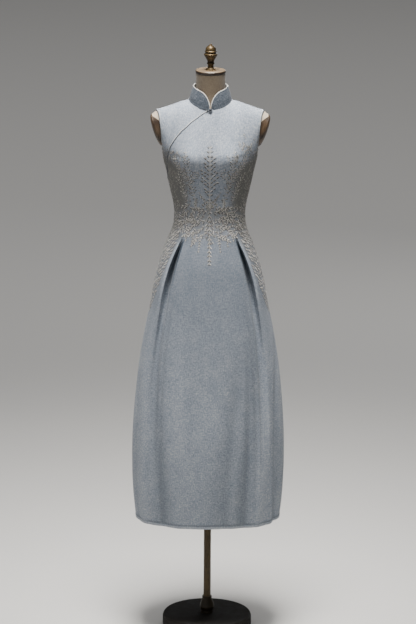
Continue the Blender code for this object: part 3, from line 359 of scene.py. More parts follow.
def tube_points(line, radius, sides, closed=False, twist=0.0, lobes=0, lobe_depth=0.0):
    """Rings of a round or twisted cord along a line, and their UVs."""
    line = np.asarray(line, float)
    ahead = np.roll(line, -1, 0) - np.roll(line, 1, 0) if closed else np.gradient(line, axis=0)
    tangent = unit(ahead)
    reference = np.array([0.0, 0.0, 1.0])
    side = np.cross(tangent, reference)
    weak = np.linalg.norm(side, axis=1) < 0.2
    side[weak] = np.cross(tangent[weak], [0.0, 1.0, 0.0])
    side = unit(side)
    for i in range(1, len(side)):
        if side[i] @ side[i - 1] < 0:
            side[i] = -side[i]
    up = np.cross(side, tangent)
    run = run_along(line)
    turn = full_turn(sides)
    phase = turn[None, :] + twist * run[:, None]
    reach = np.asarray(radius) * (1 + lobe_depth * np.cos(lobes * phase)) if lobes else radius
    reach = np.broadcast_to(reach, (len(line), sides))[..., None]
    rings = line[:, None] + reach * (np.cos(turn)[None, :, None] * side[:, None]
                                     + np.sin(turn)[None, :, None] * up[:, None])
    uv = np.stack(np.broadcast_arrays(run[:, None], turn[None, :] / (2 * math.pi) * 0.006), -1)
    return rings, uv


def tube(name, line, radius, sides, slot, material, closed=False, **cord):
    rings, uv = tube_points(line, radius, sides, closed, **cord)
    rows = len(rings)
    faces = grid_quads(rows, sides, 0, True)
    if closed:
        faces += closing_ring(rows, sides)
    else:
        faces += end_caps(rows, sides, flip_first=True)
    made = make_mesh(name, rings, faces, uv, None, None, material)
    recalc(made)
    return made


def recalc(piece):
    bm = bmesh.new()
    bm.from_mesh(piece.data)
    bmesh.ops.recalc_face_normals(bm, faces=bm.faces)
    bm.to_mesh(piece.data)
    bm.free()


def run_along(points):
    """Metres along a line of points, from its first one."""
    return np.concatenate([[0.0], np.cumsum(np.linalg.norm(np.diff(points, axis=0), axis=-1))])


def run_across(grid):
    """Metres along each row of a grid, from its first column."""
    steps = np.cumsum(np.linalg.norm(np.diff(grid, axis=1), axis=-1), axis=1)
    return np.concatenate([np.zeros((len(grid), 1)), steps], axis=1)


def closing_ring(rows, sides, start=0):
    """Quads from the last ring of a tube back to its first."""
    last = start + (rows - 1) * sides
    return [(last + j, last + (j + 1) % sides, start + (j + 1) % sides, start + j) for j in range(sides)]


def end_caps(rows, sides, flip_first=False, flip_last=False, start=0):
    """The two faces that shut a tube."""
    first = tuple(start + j for j in range(sides))
    last = tuple(start + (rows - 1) * sides + j for j in range(sides))
    return [first[::-1] if flip_first else first, last[::-1] if flip_last else last]


def smooth_line(points, count, closed=False):
    """A Catmull-Rom curve through a few points."""
    points = np.asarray(points, float)
    n = len(points)
    span = n if closed else n - 1
    t = np.linspace(0, span, count, endpoint=not closed)
    i = np.minimum(t.astype(int), span - 1)
    f = (t - i)[:, None]

    def at(k):
        return points[k % n] if closed else points[np.clip(k, 0, n - 1)]

    a, b, c, d = at(i - 1), at(i), at(i + 1), at(i + 2)
    return 0.5 * (2 * b + (c - a) * f + (2 * a - 5 * b + 4 * c - d) * f**2 + (3 * b - a - 3 * c + d) * f**3)


# ---------------------------------------------------------------- materials

class Shader:
    """A Principled material with a short way to add and join nodes."""

    def __init__(self, name, colour, roughness, metallic=0.0, **sockets):
        self.material = bpy.data.materials.new(name)
        self.material.use_nodes = True
        self.tree = self.material.node_tree
        self.base = self.tree.nodes["Principled BSDF"]
        self.base.inputs["Base Color"].default_value = (*colour, 1.0)
        self.base.inputs["Roughness"].default_value = roughness
        self.base.inputs["Metallic"].default_value = metallic
        for key, value in sockets.items():
            self.base.inputs[key.replace("_", " ")].default_value = value

    def add(self, kind, sockets=(), **settings):
        node = self.tree.nodes.new("ShaderNode" + kind)
        for key, value in settings.items():
            setattr(node, key, value)
        for key, value in dict(sockets).items():
            self.put(node.inputs[key], value)
        return node

    def put(self, socket, value):
        if isinstance(value, bpy.types.NodeSocket):
            self.tree.links.new(value, socket)
        elif isinstance(value, bpy.types.Node):
            self.tree.links.new(value.outputs[0], socket)
        else:
            socket.default_value = value

    def math(self, operation, a, b=0.0):
        return self.add("Math", {0: a, 1: b}, operation=operation)

    def weighted(self, a, share_a, b, share_b):
        return self.math("ADD", self.math("MULTIPLY", a, share_a), self.math("MULTIPLY", b, share_b))

    def threads(self, vector, weft, warp):
        """Slubby threads both ways, from the stretch of each."""
        weft, warp = (self.noise(self.stretched(vector, stretch), 1.0, 3.0) for stretch in (weft, warp))
        return self.weighted(weft, 0.5, warp, 0.5)

    def wave(self, vector, distortion, **settings):
        sockets = {"Vector": vector, "Scale": 1.0, "Distortion": distortion}
        return self.add("TexWave", sockets, **settings).outputs["Fac"]

    def height(self):
        return self.add("SeparateXYZ", {0: self.object_space()}).outputs["Z"]

    def mix(self, factor, a, b):
        node = self.add("Mix", data_type="RGBA", clamp_factor=True)
        self.put(node.inputs[0], factor)
        for socket, value in ((node.inputs[6], a), (node.inputs[7], b)):
            self.put(socket, (*value, 1.0) if isinstance(value, tuple) and len(value) == 3 else value)
        return node.outputs[2]

    def remap(self, value, low, high, to_low=0.0, to_high=1.0):
        sockets = {"Value": value, "From Min": low, "From Max": high, "To Min": to_low, "To Max": to_high}
        return self.add("MapRange", sockets, clamp=True).outputs[0]

    def stretched(self, vector, scale, turn=0.0):
        return self.add("Mapping", {"Vector": vector, "Scale": scale, "Rotation": (0, 0, turn)}).outputs[0]

    def noise(self, vector, scale, detail=2.0, roughness=0.55):
        sockets = {"Vector": vector, "Scale": scale, "Detail": detail, "Roughness": roughness}
        return self.add("TexNoise", sockets).outputs[0]

    def bump(self, height, strength, distance, normal=None):
        node = self.add("Bump", {"Height": height, "Strength": strength, "Distance": distance})
        if normal:
            self.put(node.inputs["Normal"], normal)
        return node.outputs[0]

    def uv(self):
        return self.add("UVMap", uv_map="cloth").outputs[0]

    def object_space(self):
        return self.add("TexCoord").outputs["Object"]

    def attribute(self, name):
        return self.add("Attribute", attribute_name=name).outputs["Fac"]

    def colour(self, value):
        self.put(self.base.inputs["Base Color"], value)

    def done(self, normal=None, roughness=None):
        if normal is not None:
            self.put(self.base.inputs["Normal"], normal)
        if roughness is not None:
            self.put(self.base.inputs["Roughness"], roughness)
        return self.material


TONE_SPREAD = 0.115  # how far the linen's tone runs from its middle colour to its dark or light one


def linen(name, dark, middle, light, stitched_and_shade=None):
    """Heathered linen: slubby threads both ways, melange flecks, a fine weave and a soft sheen of nap. Given the
    stitched ground's colours, it also takes that ground, which is partly painted shade, painted shade in folds,
    creases, pleats and under the bust, and painted highlights on ridges and lips.
    """
    s = Shader(name, middle, 0.88, Sheen_Weight=0.06, Sheen_Roughness=0.5, Specular_IOR_Level=0.18)
    uv = s.uv()
    heather = s.noise(s.stretched(uv, (230, 190, 1)), 1.0, 2.0, 0.7)
    cloud = s.noise(s.stretched(uv, (26, 18, 1)), 1.0, 3.0)
    thread = s.threads(uv, (75, 340, 1), (330, 70, 1))
    tone = s.weighted(s.weighted(thread, 0.55, heather, 0.45), 0.86, cloud, 0.14)
    low = s.mix(s.remap(tone, 0.5 - TONE_SPREAD, 0.5), dark, middle)
    colour = s.mix(s.remap(tone, 0.5, 0.5 + TONE_SPREAD), low, light)
    if stitched_and_shade:
        # A darker stitched ground, which on the bodice sides is also painted shade.
        amount = s.attribute("stitched_and_shade")
        ground = s.noise(s.stretched(uv, (420, 130, 1)), 1.0, 3.0, 0.7)
        thread_colour = s.mix(s.remap(ground, 0.36, 0.64), stitched_and_shade[0], stitched_and_shade[1])
        cover = s.remap(s.math("ADD", amount, s.math("MULTIPLY", s.math("SUBTRACT", ground, 0.5), 0.9)), 0.2, 0.75)
        colour = s.mix(s.math("MULTIPLY", cover, s.remap(amount, 0.0, 0.25)), colour, thread_colour)
        # Painted shade in folds, creases, below the waist and above the hem's lip, and a painted highlight on ridges,
        # pleat lips and the hem's lip.
        shade_and_highlight = s.attribute("shade_and_highlight")
        colour = s.mix(s.remap(shade_and_highlight, 0.0, 1.0, 0.0, 0.57), colour, tuple(c * 0.45 for c in dark))
        colour = s.mix(s.remap(shade_and_highlight, -0.8, 0.0, 0.30, 0.0), colour, light)
        # Painted shade inside the pleats, a near-black blue.
        colour = s.mix(s.remap(s.attribute("pleat"), 0.0, 1.0, 0.0, 0.94), colour, (0.012, 0.023, 0.037))
    s.colour(colour)
    across = s.wave(s.stretched(uv, (500, 60, 0)), 0.6)
    down = s.wave(s.stretched(uv, (60, 500, 0)), 0.6, bands_direction="Y")
    weave = s.bump(s.math("ADD", across, down), 0.16, 0.0002)
    return s.done(s.bump(thread, 0.35, 0.0006, weave))


dress_linen = linen(
    "dress_linen_look", (0.154, 0.187, 0.234), (0.272, 0.304, 0.351), (0.442, 0.460, 0.487),
    stitched_and_shade=((0.122, 0.125, 0.124), (0.196, 0.192, 0.179)),
)
# The collar's linen is a darker copy of the dress's linen: painted shade on the collar.
collar_linen = linen("shaded_collar_linen_look", (0.036, 0.045, 0.058), (0.065, 0.076, 0.093), (0.122, 0.137, 0.157))
binding_linen = linen("binding_look", (0.270, 0.300, 0.330), (0.385, 0.415, 0.445), (0.520, 0.545, 0.570))
lining_cloth = linen("lining_look", (0.560, 0.560, 0.540), (0.700, 0.695, 0.670), (0.800, 0.795, 0.770))


def cord_look(name, dark, light, sheen=0.3):
    s = Shader(name, light, 0.62, Sheen_Weight=sheen, Specular_IOR_Level=0.4)
    uv = s.uv()
    strands = s.wave(s.stretched(uv, (1400, 520, 0), 0.6), 0.8)
    fine = s.noise(s.stretched(uv, (900, 900, 1)), 1.0, 2.0)
    tone = s.weighted(strands, 0.6, fine, 0.4)
    s.colour(s.mix(s.remap(tone, 0.2, 0.8), dark, light))
    return s.done(s.bump(tone, 0.5, 0.0004))


pale_cord = cord_look("pale_piping_look", (0.50, 0.49, 0.45), (0.82, 0.80, 0.74))
grey_cord = cord_look("grey_cord_look", (0.030, 0.036, 0.046), (0.105, 0.118, 0.138))
dark_cord = cord_look("frog_dark_look", (0.008, 0.010, 0.015), (0.036, 0.045, 0.060), 0.10)


def thread_look():
    """Satin-stitch floss, from near black to cream by each leaf's own tone."""
    s = Shader("floss_look", (0.5, 0.46, 0.40), 0.42, Specular_IOR_Level=0.6, Sheen_Weight=0.2)
    tone = s.attribute("tone")
    ramp = s.add("ValToRGB", {0: tone})
    stops = ((0.0, (0.012, 0.013, 0.016)), (0.25, (0.12, 0.112, 0.10)), (0.55, (0.32, 0.305, 0.275)),
             (0.8, (0.50, 0.475, 0.43)), (1.0, (0.74, 0.72, 0.67)))
    while len(ramp.color_ramp.elements) < len(stops):
        ramp.color_ramp.elements.new(0.5)
    for element, (at, colour) in zip(ramp.color_ramp.elements, stops):
        element.position = at
        element.color = (*colour, 1.0)
    uv = s.uv()
    strands = s.wave(s.stretched(uv, (2600, 500, 0), 0.35), 0.4)
    s.colour(s.mix(s.math("MULTIPLY", strands, 0.35), ramp.outputs[0], (0.20, 0.185, 0.165)))
    return s.done(s.bump(strands, 0.4, 0.0003))


floss = thread_look()
bead_glass = Shader("bead_look", (0.78, 0.74, 0.66), 0.16, 0.35, Specular_IOR_Level=0.8, Coat_Weight=0.6)
bead_tone = bead_glass.noise(bead_glass.object_space(), 900.0, 1.0)
bead_glass.colour(bead_glass.mix(bead_glass.remap(bead_tone, 0.35, 0.65), (0.42, 0.38, 0.33), (0.88, 0.85, 0.78)))
bead_glass = bead_glass.done()


def sewing_look(name, colour):
    s = Shader(name, colour, 0.7)
    tone = s.noise(s.object_space(), 700.0, 2.0)
    s.colour(s.mix(tone, tuple(c * 0.7 for c in colour), tuple(min(c * 1.25, 1.0) for c in colour)))
    return s.done(s.bump(tone, 0.3, 0.0002))


dark_sewing = sewing_look("dark_sewing_look", (0.075, 0.095, 0.125))
form_sewing = sewing_look("form_sewing_look", (0.30, 0.25, 0.18))


CAP_SHADE_HEIGHTS, NECK_SHADE_HEIGHTS = (1.8069, 1.8077), (1.690, 1.712)  # where each changes colour: painted shade on the cap's side below the first, on the neck above the second


def wood_look(name, dark, light, scale, roughness, side_shade=None):
    s = Shader(name, light, roughness, Coat_Weight=0.25, Coat_Roughness=0.25)
    place = s.object_space()
    warp = s.noise(place, 9.0, 2.0)
    grain = s.add("TexWave", {"Vector": s.stretched(place, scale), "Scale": 1.0, "Distortion": 5.0,
                              "Detail": 3.0}, wave_type="RINGS").outputs["Fac"]
    pores = s.noise(s.stretched(place, tuple(v * 9 for v in scale)), 3.0, 3.0)
    tone = s.weighted(grain, 0.55, pores, 0.3)
    tone = s.math("ADD", tone, s.math("MULTIPLY", warp, 0.15))
    colour = s.mix(s.remap(tone, 0.2, 0.8), dark, light)
    # Painted shade on the side of a cap: dark wood below its top edge.
    if side_shade:
        colour = s.mix(s.remap(s.height(), *CAP_SHADE_HEIGHTS), side_shade, colour)
    s.colour(colour)
    return s.done(s.bump(pores, 0.15, 0.0003), s.remap(pores, 0.3, 0.7, roughness - 0.06, roughness + 0.12))


def metal_look(name, dark, light, metallic, roughness, wear_and_neck_shade):
    s = Shader(name, light, roughness, metallic, Coat_Weight=0.05, Coat_Roughness=0.3, Specular_IOR_Level=0.3)
    place = s.object_space()
    patina = s.noise(place, 38.0, 4.0, 0.6)
    cast = s.noise(place, 420.0, 2.0)
    edge = s.add("NewGeometry").outputs["Pointiness"]
    colour = s.mix(s.remap(patina, 0.35, 0.68), dark, light)
    rubbed = s.math("MULTIPLY", s.remap(edge, 0.52, 0.60), s.remap(patina, 0.3, 0.6, 0.4, 1.0))
    s.colour(s.mix(rubbed, colour, wear_and_neck_shade))
    return s.done(s.bump(cast, 0.12, 0.0003), s.remap(patina, 0.3, 0.7, roughness - 0.08, roughness + 0.14))


def form_linen_look():
    s = Shader("form_linen_look", (0.55, 0.47, 0.36), 0.9, Sheen_Weight=0.15, Specular_IOR_Level=0.2)
    uv = s.uv()
    thread = s.threads(uv, (110, 900, 1), (900, 110, 1))
    tone = s.weighted(thread, 0.7, s.noise(s.stretched(uv, (14, 14, 1)), 1.0, 3.0), 0.3)
    # Painted shade: the linen turns dark brown up the neck, where the cap shades it.
    neck = s.remap(s.height(), *NECK_SHADE_HEIGHTS)
    linen_tone = s.mix(s.remap(tone, 0.34, 0.66), (0.34, 0.275, 0.200), (0.54, 0.455, 0.350))
    wear_and_neck_shade = s.mix(s.remap(tone, 0.34, 0.66), (0.095, 0.072, 0.049), (0.170, 0.134, 0.094))
    s.colour(s.mix(neck, linen_tone, wear_and_neck_shade))
    return s.done(s.bump(thread, 0.3, 0.0005))


form_linen = form_linen_look()
DARK_WOOD = (0.022, 0.012, 0.006)
dark_wood = wood_look("dark_wood_look", DARK_WOOD, (0.085, 0.050, 0.024), (6, 40, 6), 0.42)
cap_wood = wood_look("cap_wood_look", (0.085, 0.054, 0.028), (0.200, 0.142, 0.085), (8, 60, 60), 0.40,
                     DARK_WOOD)
bronze = metal_look("bronze_look", (0.016, 0.010, 0.004), (0.088, 0.058, 0.024), 0.60, 0.36, (0.34, 0.23, 0.11))
pole_metal = metal_look("pole_look", (0.009, 0.006, 0.002), (0.024, 0.016, 0.006), 0.35, 0.48, (0.08, 0.055, 0.022))
base_metal = metal_look("base_look", (0.004, 0.003, 0.002), (0.010, 0.007, 0.004), 0.0, 0.82, (0.035, 0.026, 0.016))


# ---------------------------------------------------------------- the dress's panels

def spaced(points, fine):
    """Steps through a short list of values with a given number of steps in each stretch."""
    out = [points[0]]
    for a, b, n in zip(points, points[1:], fine):
        out += list(np.linspace(a, b, n + 1)[1:])
    return np.array(out)


SKIRT_HEIGHTS = spaced(
    (HEM, HEM + 0.0015, HEM + HEM_LIP_HEIGHT, HEM + HEM_LIP_HEIGHT + 0.0012, HEM + HEM_LIP_HEIGHT + 0.0080, 0.60,
     0.98, 1.22, 1.302, 1.385),
    (1, 3, 2, 3, 26, 46, 46, 26, 16),
)
SIDE_HEIGHTS = np.linspace(1.385, UNDERARM, 33)[1:]
CHEST_HEIGHTS = UNDERARM + CHEST_RISE * spaced((0.0, 0.06, 0.9, 1.0), (4, 26, 6))[1:]


def quarter_columns(height, seam, counts):
    """Angles from the side across the pleat to the centre, for each height: rows of columns."""
    level = np.minimum(np.atleast_1d(height), UNDERARM)[:, None]
    seam = np.broadcast_to(np.atleast_1d(seam), level[:, 0].shape)[:, None]
    inner, outer = pleat_inner(level), pleat_outer(level)
    side = np.linspace(0, 1, counts[0] + 1)[None, :-1]
    pleat = np.interp(np.linspace(0, 1, counts[1] + 1), np.linspace(0, 1, len(PLEAT_ACROSS)), PLEAT_ACROSS)
    centre = np.linspace(0, 1, counts[2] + 1)[None, 1:]
    return np.concatenate([
        seam + (outer - seam) * side, outer + (inner - outer) * pleat[None, :], inner + (90.0 - inner) * centre,
    ], axis=1)


def under_lap(above):
    """How far the under panel is sunk where it lies under the front, for a height above the opening's edge."""
    return UNDER_LAP_DEPTH * (1 - ease(above / UNDER_LAP_WIDTH - 0.4))


TUCK_FOOT_ANGLE, TUCK_TOP_ANGLE = 48.8, 43.4
TUCK_GROOVE_FRONT, TUCK_GROOVE_BACK, TUCK_GROOVE_SPREAD = 0.0009, 0.0007, 0.55


def tuck_angle(height):
    """Degrees from the side of a stitched tuck, which leans in as it climbs."""
    return blend(TUCK_FOOT_ANGLE, TUCK_TOP_ANGLE, ease((height - 1.296) / 0.075))


def hem_step(angle, height):
    """Lifts the back's hem beside the seam that swings to the front."""
    away = np.abs(angle - 360.0 - seam_angle(HEM))
    return HEM_STEP * bell(away, HEM_STEP_SPREAD) * np.clip((0.42 - height) / (0.42 - HEM), 0, 1)


def tuck_groove(angle, height):
    """The stitched tucks that run up from the top of each pleat."""
    from_side, _, front = quarter(angle)
    at = tuck_angle(height)
    strength = ease((height - 1.288) / 0.012) * ease((1.368 - height) / 0.02)
    return np.where(front, TUCK_GROOVE_FRONT, TUCK_GROOVE_BACK) * strength * bell(from_side - at, TUCK_GROOVE_SPREAD)


SLACK_DEPTH, DRAG_DEPTH, DRAG_HEIGHT, DRAG_SPREAD = 0.0006, 0.00022, 1.345, 0.035


def relief(angle, height):
    """What the real cloth has beyond the frame's forms: creases, tucks, slack and drag lines at the waist."""
    angle = np.mod(angle, 360.0)
    depth = -folds_inset(angle, height, CREASES)
    depth = depth - tuck_groove(angle, height)
    skirt = ease((1.22 - height) / 0.2)
    wave = np.sin(np.radians(angle) * 9 + height * 5.0) * np.sin(np.radians(angle) * 4 - height * 3.0 + 1.1)
    depth = depth + SLACK_DEPTH * skirt * wave
    drag = np.sin((height + (90.0 - quarter(angle)[0]) * 0.0011) * 150.0)
    depth = depth + DRAG_DEPTH * drag * bell(height - DRAG_HEIGHT, DRAG_SPREAD)
    return depth


FIELD_EDGE = ((1.34, 1.40, 1.46, 1.51, 1.55, 1.60), (70.0, 78.0, 81.0, 77.0, 56.0, 32.0))  # height, degrees
WAIST_EDGE = (  # degrees from the side, height
    (-20.0, 20.0, 44.0, 47.0, 54.0, 66.0, 76.0, 84.0, 90.0), (1.16, 1.13, 1.25, 1.29, 1.285, 1.30, 1.27, 1.28, 1.25),
)
SIDE_COVER, WAIST_COVER = 0.84, 0.46


def stitched_and_shade_density(angle, height):
    """How densely the ground is covered with fine stitches, from 0 to 1; the darker ground on the bodice sides is also
    painted shade.
    """
    a = np.where(angle > 270.0, angle - 360.0, angle)
    from_side = np.where(a <= 90.0, a, 180.0 - a)
    on_front = (a > -40.0) & (a < 220.0)
    edge = np.interp(height, *FIELD_EDGE)
    side = SIDE_COVER * ease((edge - from_side) / 38.0) * ease((from_side + 22.0) / 16.0)
    side = side * ease((height - 1.30) / 0.11) * ease((1.610 - height) / 0.10)
    low = np.interp(from_side, *WAIST_EDGE)
    waist = WAIST_COVER * ease((height - low) / 0.035) * ease((1.41 - height) / 0.03) * ease((from_side + 22) / 14.0)
    return np.where(on_front, np.clip(np.maximum(side, waist), 0.0, 1.0), 0.0)


PLEAT_FULL_SHADE = 0.0065  # metres deep in a pleat at which its shade is full
PLEAT_SHADE = ((1.00, 1.07, 1.13, 1.18, 1.235), (0.0, 0.05, 0.20, 0.52, 1.0))  # height, strength


def painted_shade_and_highlight(angle, height):
    """Painted shade and highlight for the cloth's colour, from its folds and creases: 0 on the open cloth, up to 1
    where shade is painted (in folds and creases, below the waist, just above the hem's lip), below 0 where a highlight
    is painted (on ridges, the pleats' outer lips and the hem's lip).
    """
    folds = folds_inset(angle, height, FOLDS) + 1.6 * folds_inset(np.mod(angle, 360.0), height, CREASES)
    # Painted shade on the skirt just below the waist, where the bust would shade it.
    painted_shade_below_waist = 0.98 * ease((1.34 - height) / 0.06) * ease((height - 0.74) / 0.44)
    # Painted shade just above the hem's lip and a painted highlight on the lip itself.
    hem = 1.0 * bell(height - HEM - HEM_LIP_HEIGHT - 0.004, 0.0030) - 1.3 * (height < HEM + HEM_LIP_HEIGHT + 0.0001)
    from_side = quarter(angle)[0]
    # Less painted shade deep in the pleats' lower parts.
    in_pleat = ease(pleat_inset(angle, height)[0] / PLEAT_FULL_SHADE)
    in_pleat = in_pleat * ease((1.19 - height) / 0.07) * ease((height - 0.98) / 0.08)
    # A painted highlight along each pleat's outer lip.
    lip = bell(from_side - pleat_outer(np.minimum(height, UNDERARM)) + 3.2, 2.8)
    lip = 0.85 * lip * ease((height - 1.02) / 0.12) * ease((1.30 - height) / 0.03)
    return np.clip((folds + seam_crease(angle, height)) / 0.0088 + painted_shade_below_waist + hem - lip - 0.45 * in_pleat, -0.8, 1.0)


def pleat_shade(angle, height):
    """Painted shade inside a pleat, from 0 to 1, by how far inside it the cloth lies, a little nearer the middle than
    its deepest line.
    """
    shift = np.where((angle > 90.0) & (angle < 180.0), 2.2, np.where(angle < 90.0, -1.3, 0.0))
    inset = pleat_inset(angle + shift, height)[0]
    strength = np.interp(height, *PLEAT_SHADE)
    return ease(inset / PLEAT_FULL_SHADE) * strength


def cloth_uv(points):
    """Metres along the cloth: across from the middle column and up from the bottom row."""
    middle = points.shape[1] // 2
    across = run_across(points)
    across = across - across[:, middle:middle + 1]
    up = run_along(points[:, middle])
    return np.stack([across, np.broadcast_to(up[:, None], across.shape)], -1)


SEAM_ROLL, SEAM_ROLL_SPREAD, SEAM_ROOM = 0.0007, 0.0022, 0.00012


def panel(name, angle, height, sunk=0.0, seams=(), lip=True, step=False):
    """One cut piece of the dress as a thin shell; seams are the edges that roll into a seam."""
    base = body_surface(angle, height)
    normal = grid_normals(base)
    lift = relief(angle, height) - sunk
    if lip:
        lift = lift + HEM_LIP_THICKNESS * (height <= HEM + HEM_LIP_HEIGHT + 1e-6)
    from_start = run_across(base)
    for edge, away in (("start", from_start), ("end", from_start[:, -1:] - from_start)):
        if edge in seams:
            lift = lift - SEAM_ROLL * bell(away, SEAM_ROLL_SPREAD)
    outer = base + normal * lift[..., None]
    inner = base - normal * (WALL + np.broadcast_to(sunk, lift.shape) - np.minimum(lift + sunk, 0))[..., None]
    for grid in (outer, inner):
        for edge, beside in ((0, 1), (-1, -2)):
            grid[:, edge] += unit(grid[:, beside] - grid[:, edge]) * SEAM_ROOM
        if step:
            grid[..., 2] += hem_step(angle, height)
    uv = cloth_uv(outer)
    return thin_wall(name, outer, inner, dress_linen, uv, {
        "stitched_and_shade": stitched_and_shade_density(angle, height), "shade_and_highlight": painted_shade_and_highlight(angle, height),
        "pleat": pleat_shade(angle, height),
    })


FRONT_COLUMNS, BACK_COLUMNS = (22, 12, 30), (16, 12, 22)  # side, pleat and centre


def front_places():
    counts = FRONT_COLUMNS
    low = SKIRT_HEIGHTS
    left = quarter_columns(low, seam_angle(low), counts)
    right = quarter_columns(low, np.zeros(len(low)), counts)
    angles = [np.concatenate([left, 180.0 - right[:, -2::-1]], axis=1)]
    heights = [np.broadcast_to(low[:, None], angles[0].shape)]
    high = np.concatenate([SIDE_HEIGHTS, CHEST_HEIGHTS])
    start = low[-1]
    left = quarter_columns(high, np.zeros(len(high)), counts)
    right = 180.0 - left[:, -2::-1]
    share = ((high - start) / (TOP - start))[:, None]
    # The right half keeps its columns and climbs to the opening's edge instead of the neck.
    climb = blend(start, opening_height(right - 90.0), share)
    angles.append(np.concatenate([left, right], axis=1))
    heights.append(np.concatenate([np.broadcast_to(high[:, None], left.shape), climb], axis=1))
    return np.concatenate(angles), np.concatenate(heights)


def under_places():
    angle = 180.0 - quarter_columns([UNDERARM], [0.0], FRONT_COLUMNS)[:, ::-1]
    edge = np.minimum(opening_height(angle - 90.0), TOP - 0.012)
    share = spaced((0.0, 1.0), (44,))[:, None]
    return np.broadcast_to(angle, (len(share), angle.shape[1])), blend(edge - UNDERLAP, TOP, share)


def back_places():
    counts = BACK_COLUMNS
    heights = np.concatenate([SKIRT_HEIGHTS, SIDE_HEIGHTS, CHEST_HEIGHTS])
    far = 180.0 + quarter_columns(heights, np.zeros(len(heights)), counts)
    near = 360.0 - quarter_columns(heights, -seam_angle(heights), counts)[:, -2::-1]
    angle = np.concatenate([far, near], axis=1)
    high = heights > UNDERARM
    angle[high, 0] += 1e-5
    angle[high, -1] -= 1e-5
    return angle, np.broadcast_to(heights[:, None], angle.shape)


front_angle, front_height = front_places()
front = panel("front_cloth", front_angle, front_height, seams=("start", "end"))
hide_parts("front_panel")

under_angle, under_height = under_places()
above = under_height - opening_height(under_angle - 90.0)
under = panel("under_cloth", under_angle, under_height, sunk=under_lap(above), seams=("end",), lip=False)
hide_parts("under_panel")

back_angle, back_height = back_places()
back = panel("back_cloth", back_angle, back_height, seams=("start", "end"), step=True)
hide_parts("back_panel")


# ---------------------------------------------------------------- sewing on the cloth

STEP_A, STEP_H = 2.0, 0.005
TABLE_A = np.arange(-70.0, 252.0, STEP_A)
TABLE_H = np.arange(1.0, TOP, STEP_H)
METRIC = np.stack(surface_frame(*np.meshgrid(TABLE_A, TABLE_H, indexing="ij"))[4:])


def metric(angle, height):
    """Metres per degree and per unit of height there."""
    a = np.clip((np.asarray(angle, float) - TABLE_A[0]) / STEP_A, 0, len(TABLE_A) - 1.001)
    h = np.clip((np.asarray(height, float) - TABLE_H[0]) / STEP_H, 0, len(TABLE_H) - 1.001)
    i, j = a.astype(int), h.astype(int)
    u, v = a - i, h - j
    low = METRIC[:, i, j] * (1 - u) + METRIC[:, i + 1, j] * u
    high = METRIC[:, i, j + 1] * (1 - u) + METRIC[:, i + 1, j + 1] * u
    return low * (1 - v) + high * v


def move(angle, height, heading, distance):
    """Steps over the cloth; heading is in radians, 0 to the wearer's left and a quarter turn up."""
    per_degree, per_height = metric(angle, height)
    angle = angle - np.cos(heading) * distance / per_degree
    return angle, height + np.sin(heading) * distance / per_height


def lay(angle, height, lift):
    """Points that stand a little way off the cloth."""
    point, normal = surface_frame(angle, height)[:2]
    above = height - opening_height(np.mod(angle, 360.0) - 90.0)
    on_under = (angle > 90.0) & (angle < 180.0) & (above > 0.0)
    sunk = np.where(on_under, under_lap(above), 0.0)
    return point + normal * (relief(angle, height) - sunk + lift)[..., None]


def mirrored(side, from_side):
    """The angle so many degrees from the wearer's left side, or from the right one when side is -1."""
    return from_side if side > 0 else 180.0 - from_side


def mirrored_heading(side, heading):
    """A heading as it is on the wearer's left, or turned over for the right when side is -1."""
    return heading if side > 0 else math.pi - heading


def shade_of(tone):
    """One leaf's tone, drawn round a middle and a spread."""
    return float(np.clip(RNG.normal(*tone), 0.05, 1))


leaves, beads, stems = [], [], []
PALE, WARM, GREY, DIM = (0.82, 0.12), (0.70, 0.15), (0.52, 0.16), (0.33, 0.13)
# Tone of the dark leaves that paint each leaf's shadow.
PAINTED_SHADOW_TONE = 0.0
LEAF_PROUD, SHADOW_PROUD = 0.00075, 0.00055  # how far each kind of leaf stands off the cloth


def leaf(angle, height, heading, length, width, tone, bow=0.0, shadow=0.6):
    """One satin-stitched leaf, often with a dark leaf laid close along its lower side as painted shadow."""
    leaves.append((angle, height, heading, length, width, tone, bow, LEAF_PROUD))
    if RNG.random() < shadow:
        lower = -1.0 if math.cos(heading) > 0 else 1.0
        side_a, side_h = move(angle, height, heading + lower * math.pi / 2, 0.5 * width + 0.0017)
        leaves.append((side_a, side_h, heading + RNG.normal(0, 0.06), length * 0.98, width * 1.02,
                       PAINTED_SHADOW_TONE + 0.08 * RNG.random(), bow, SHADOW_PROUD))


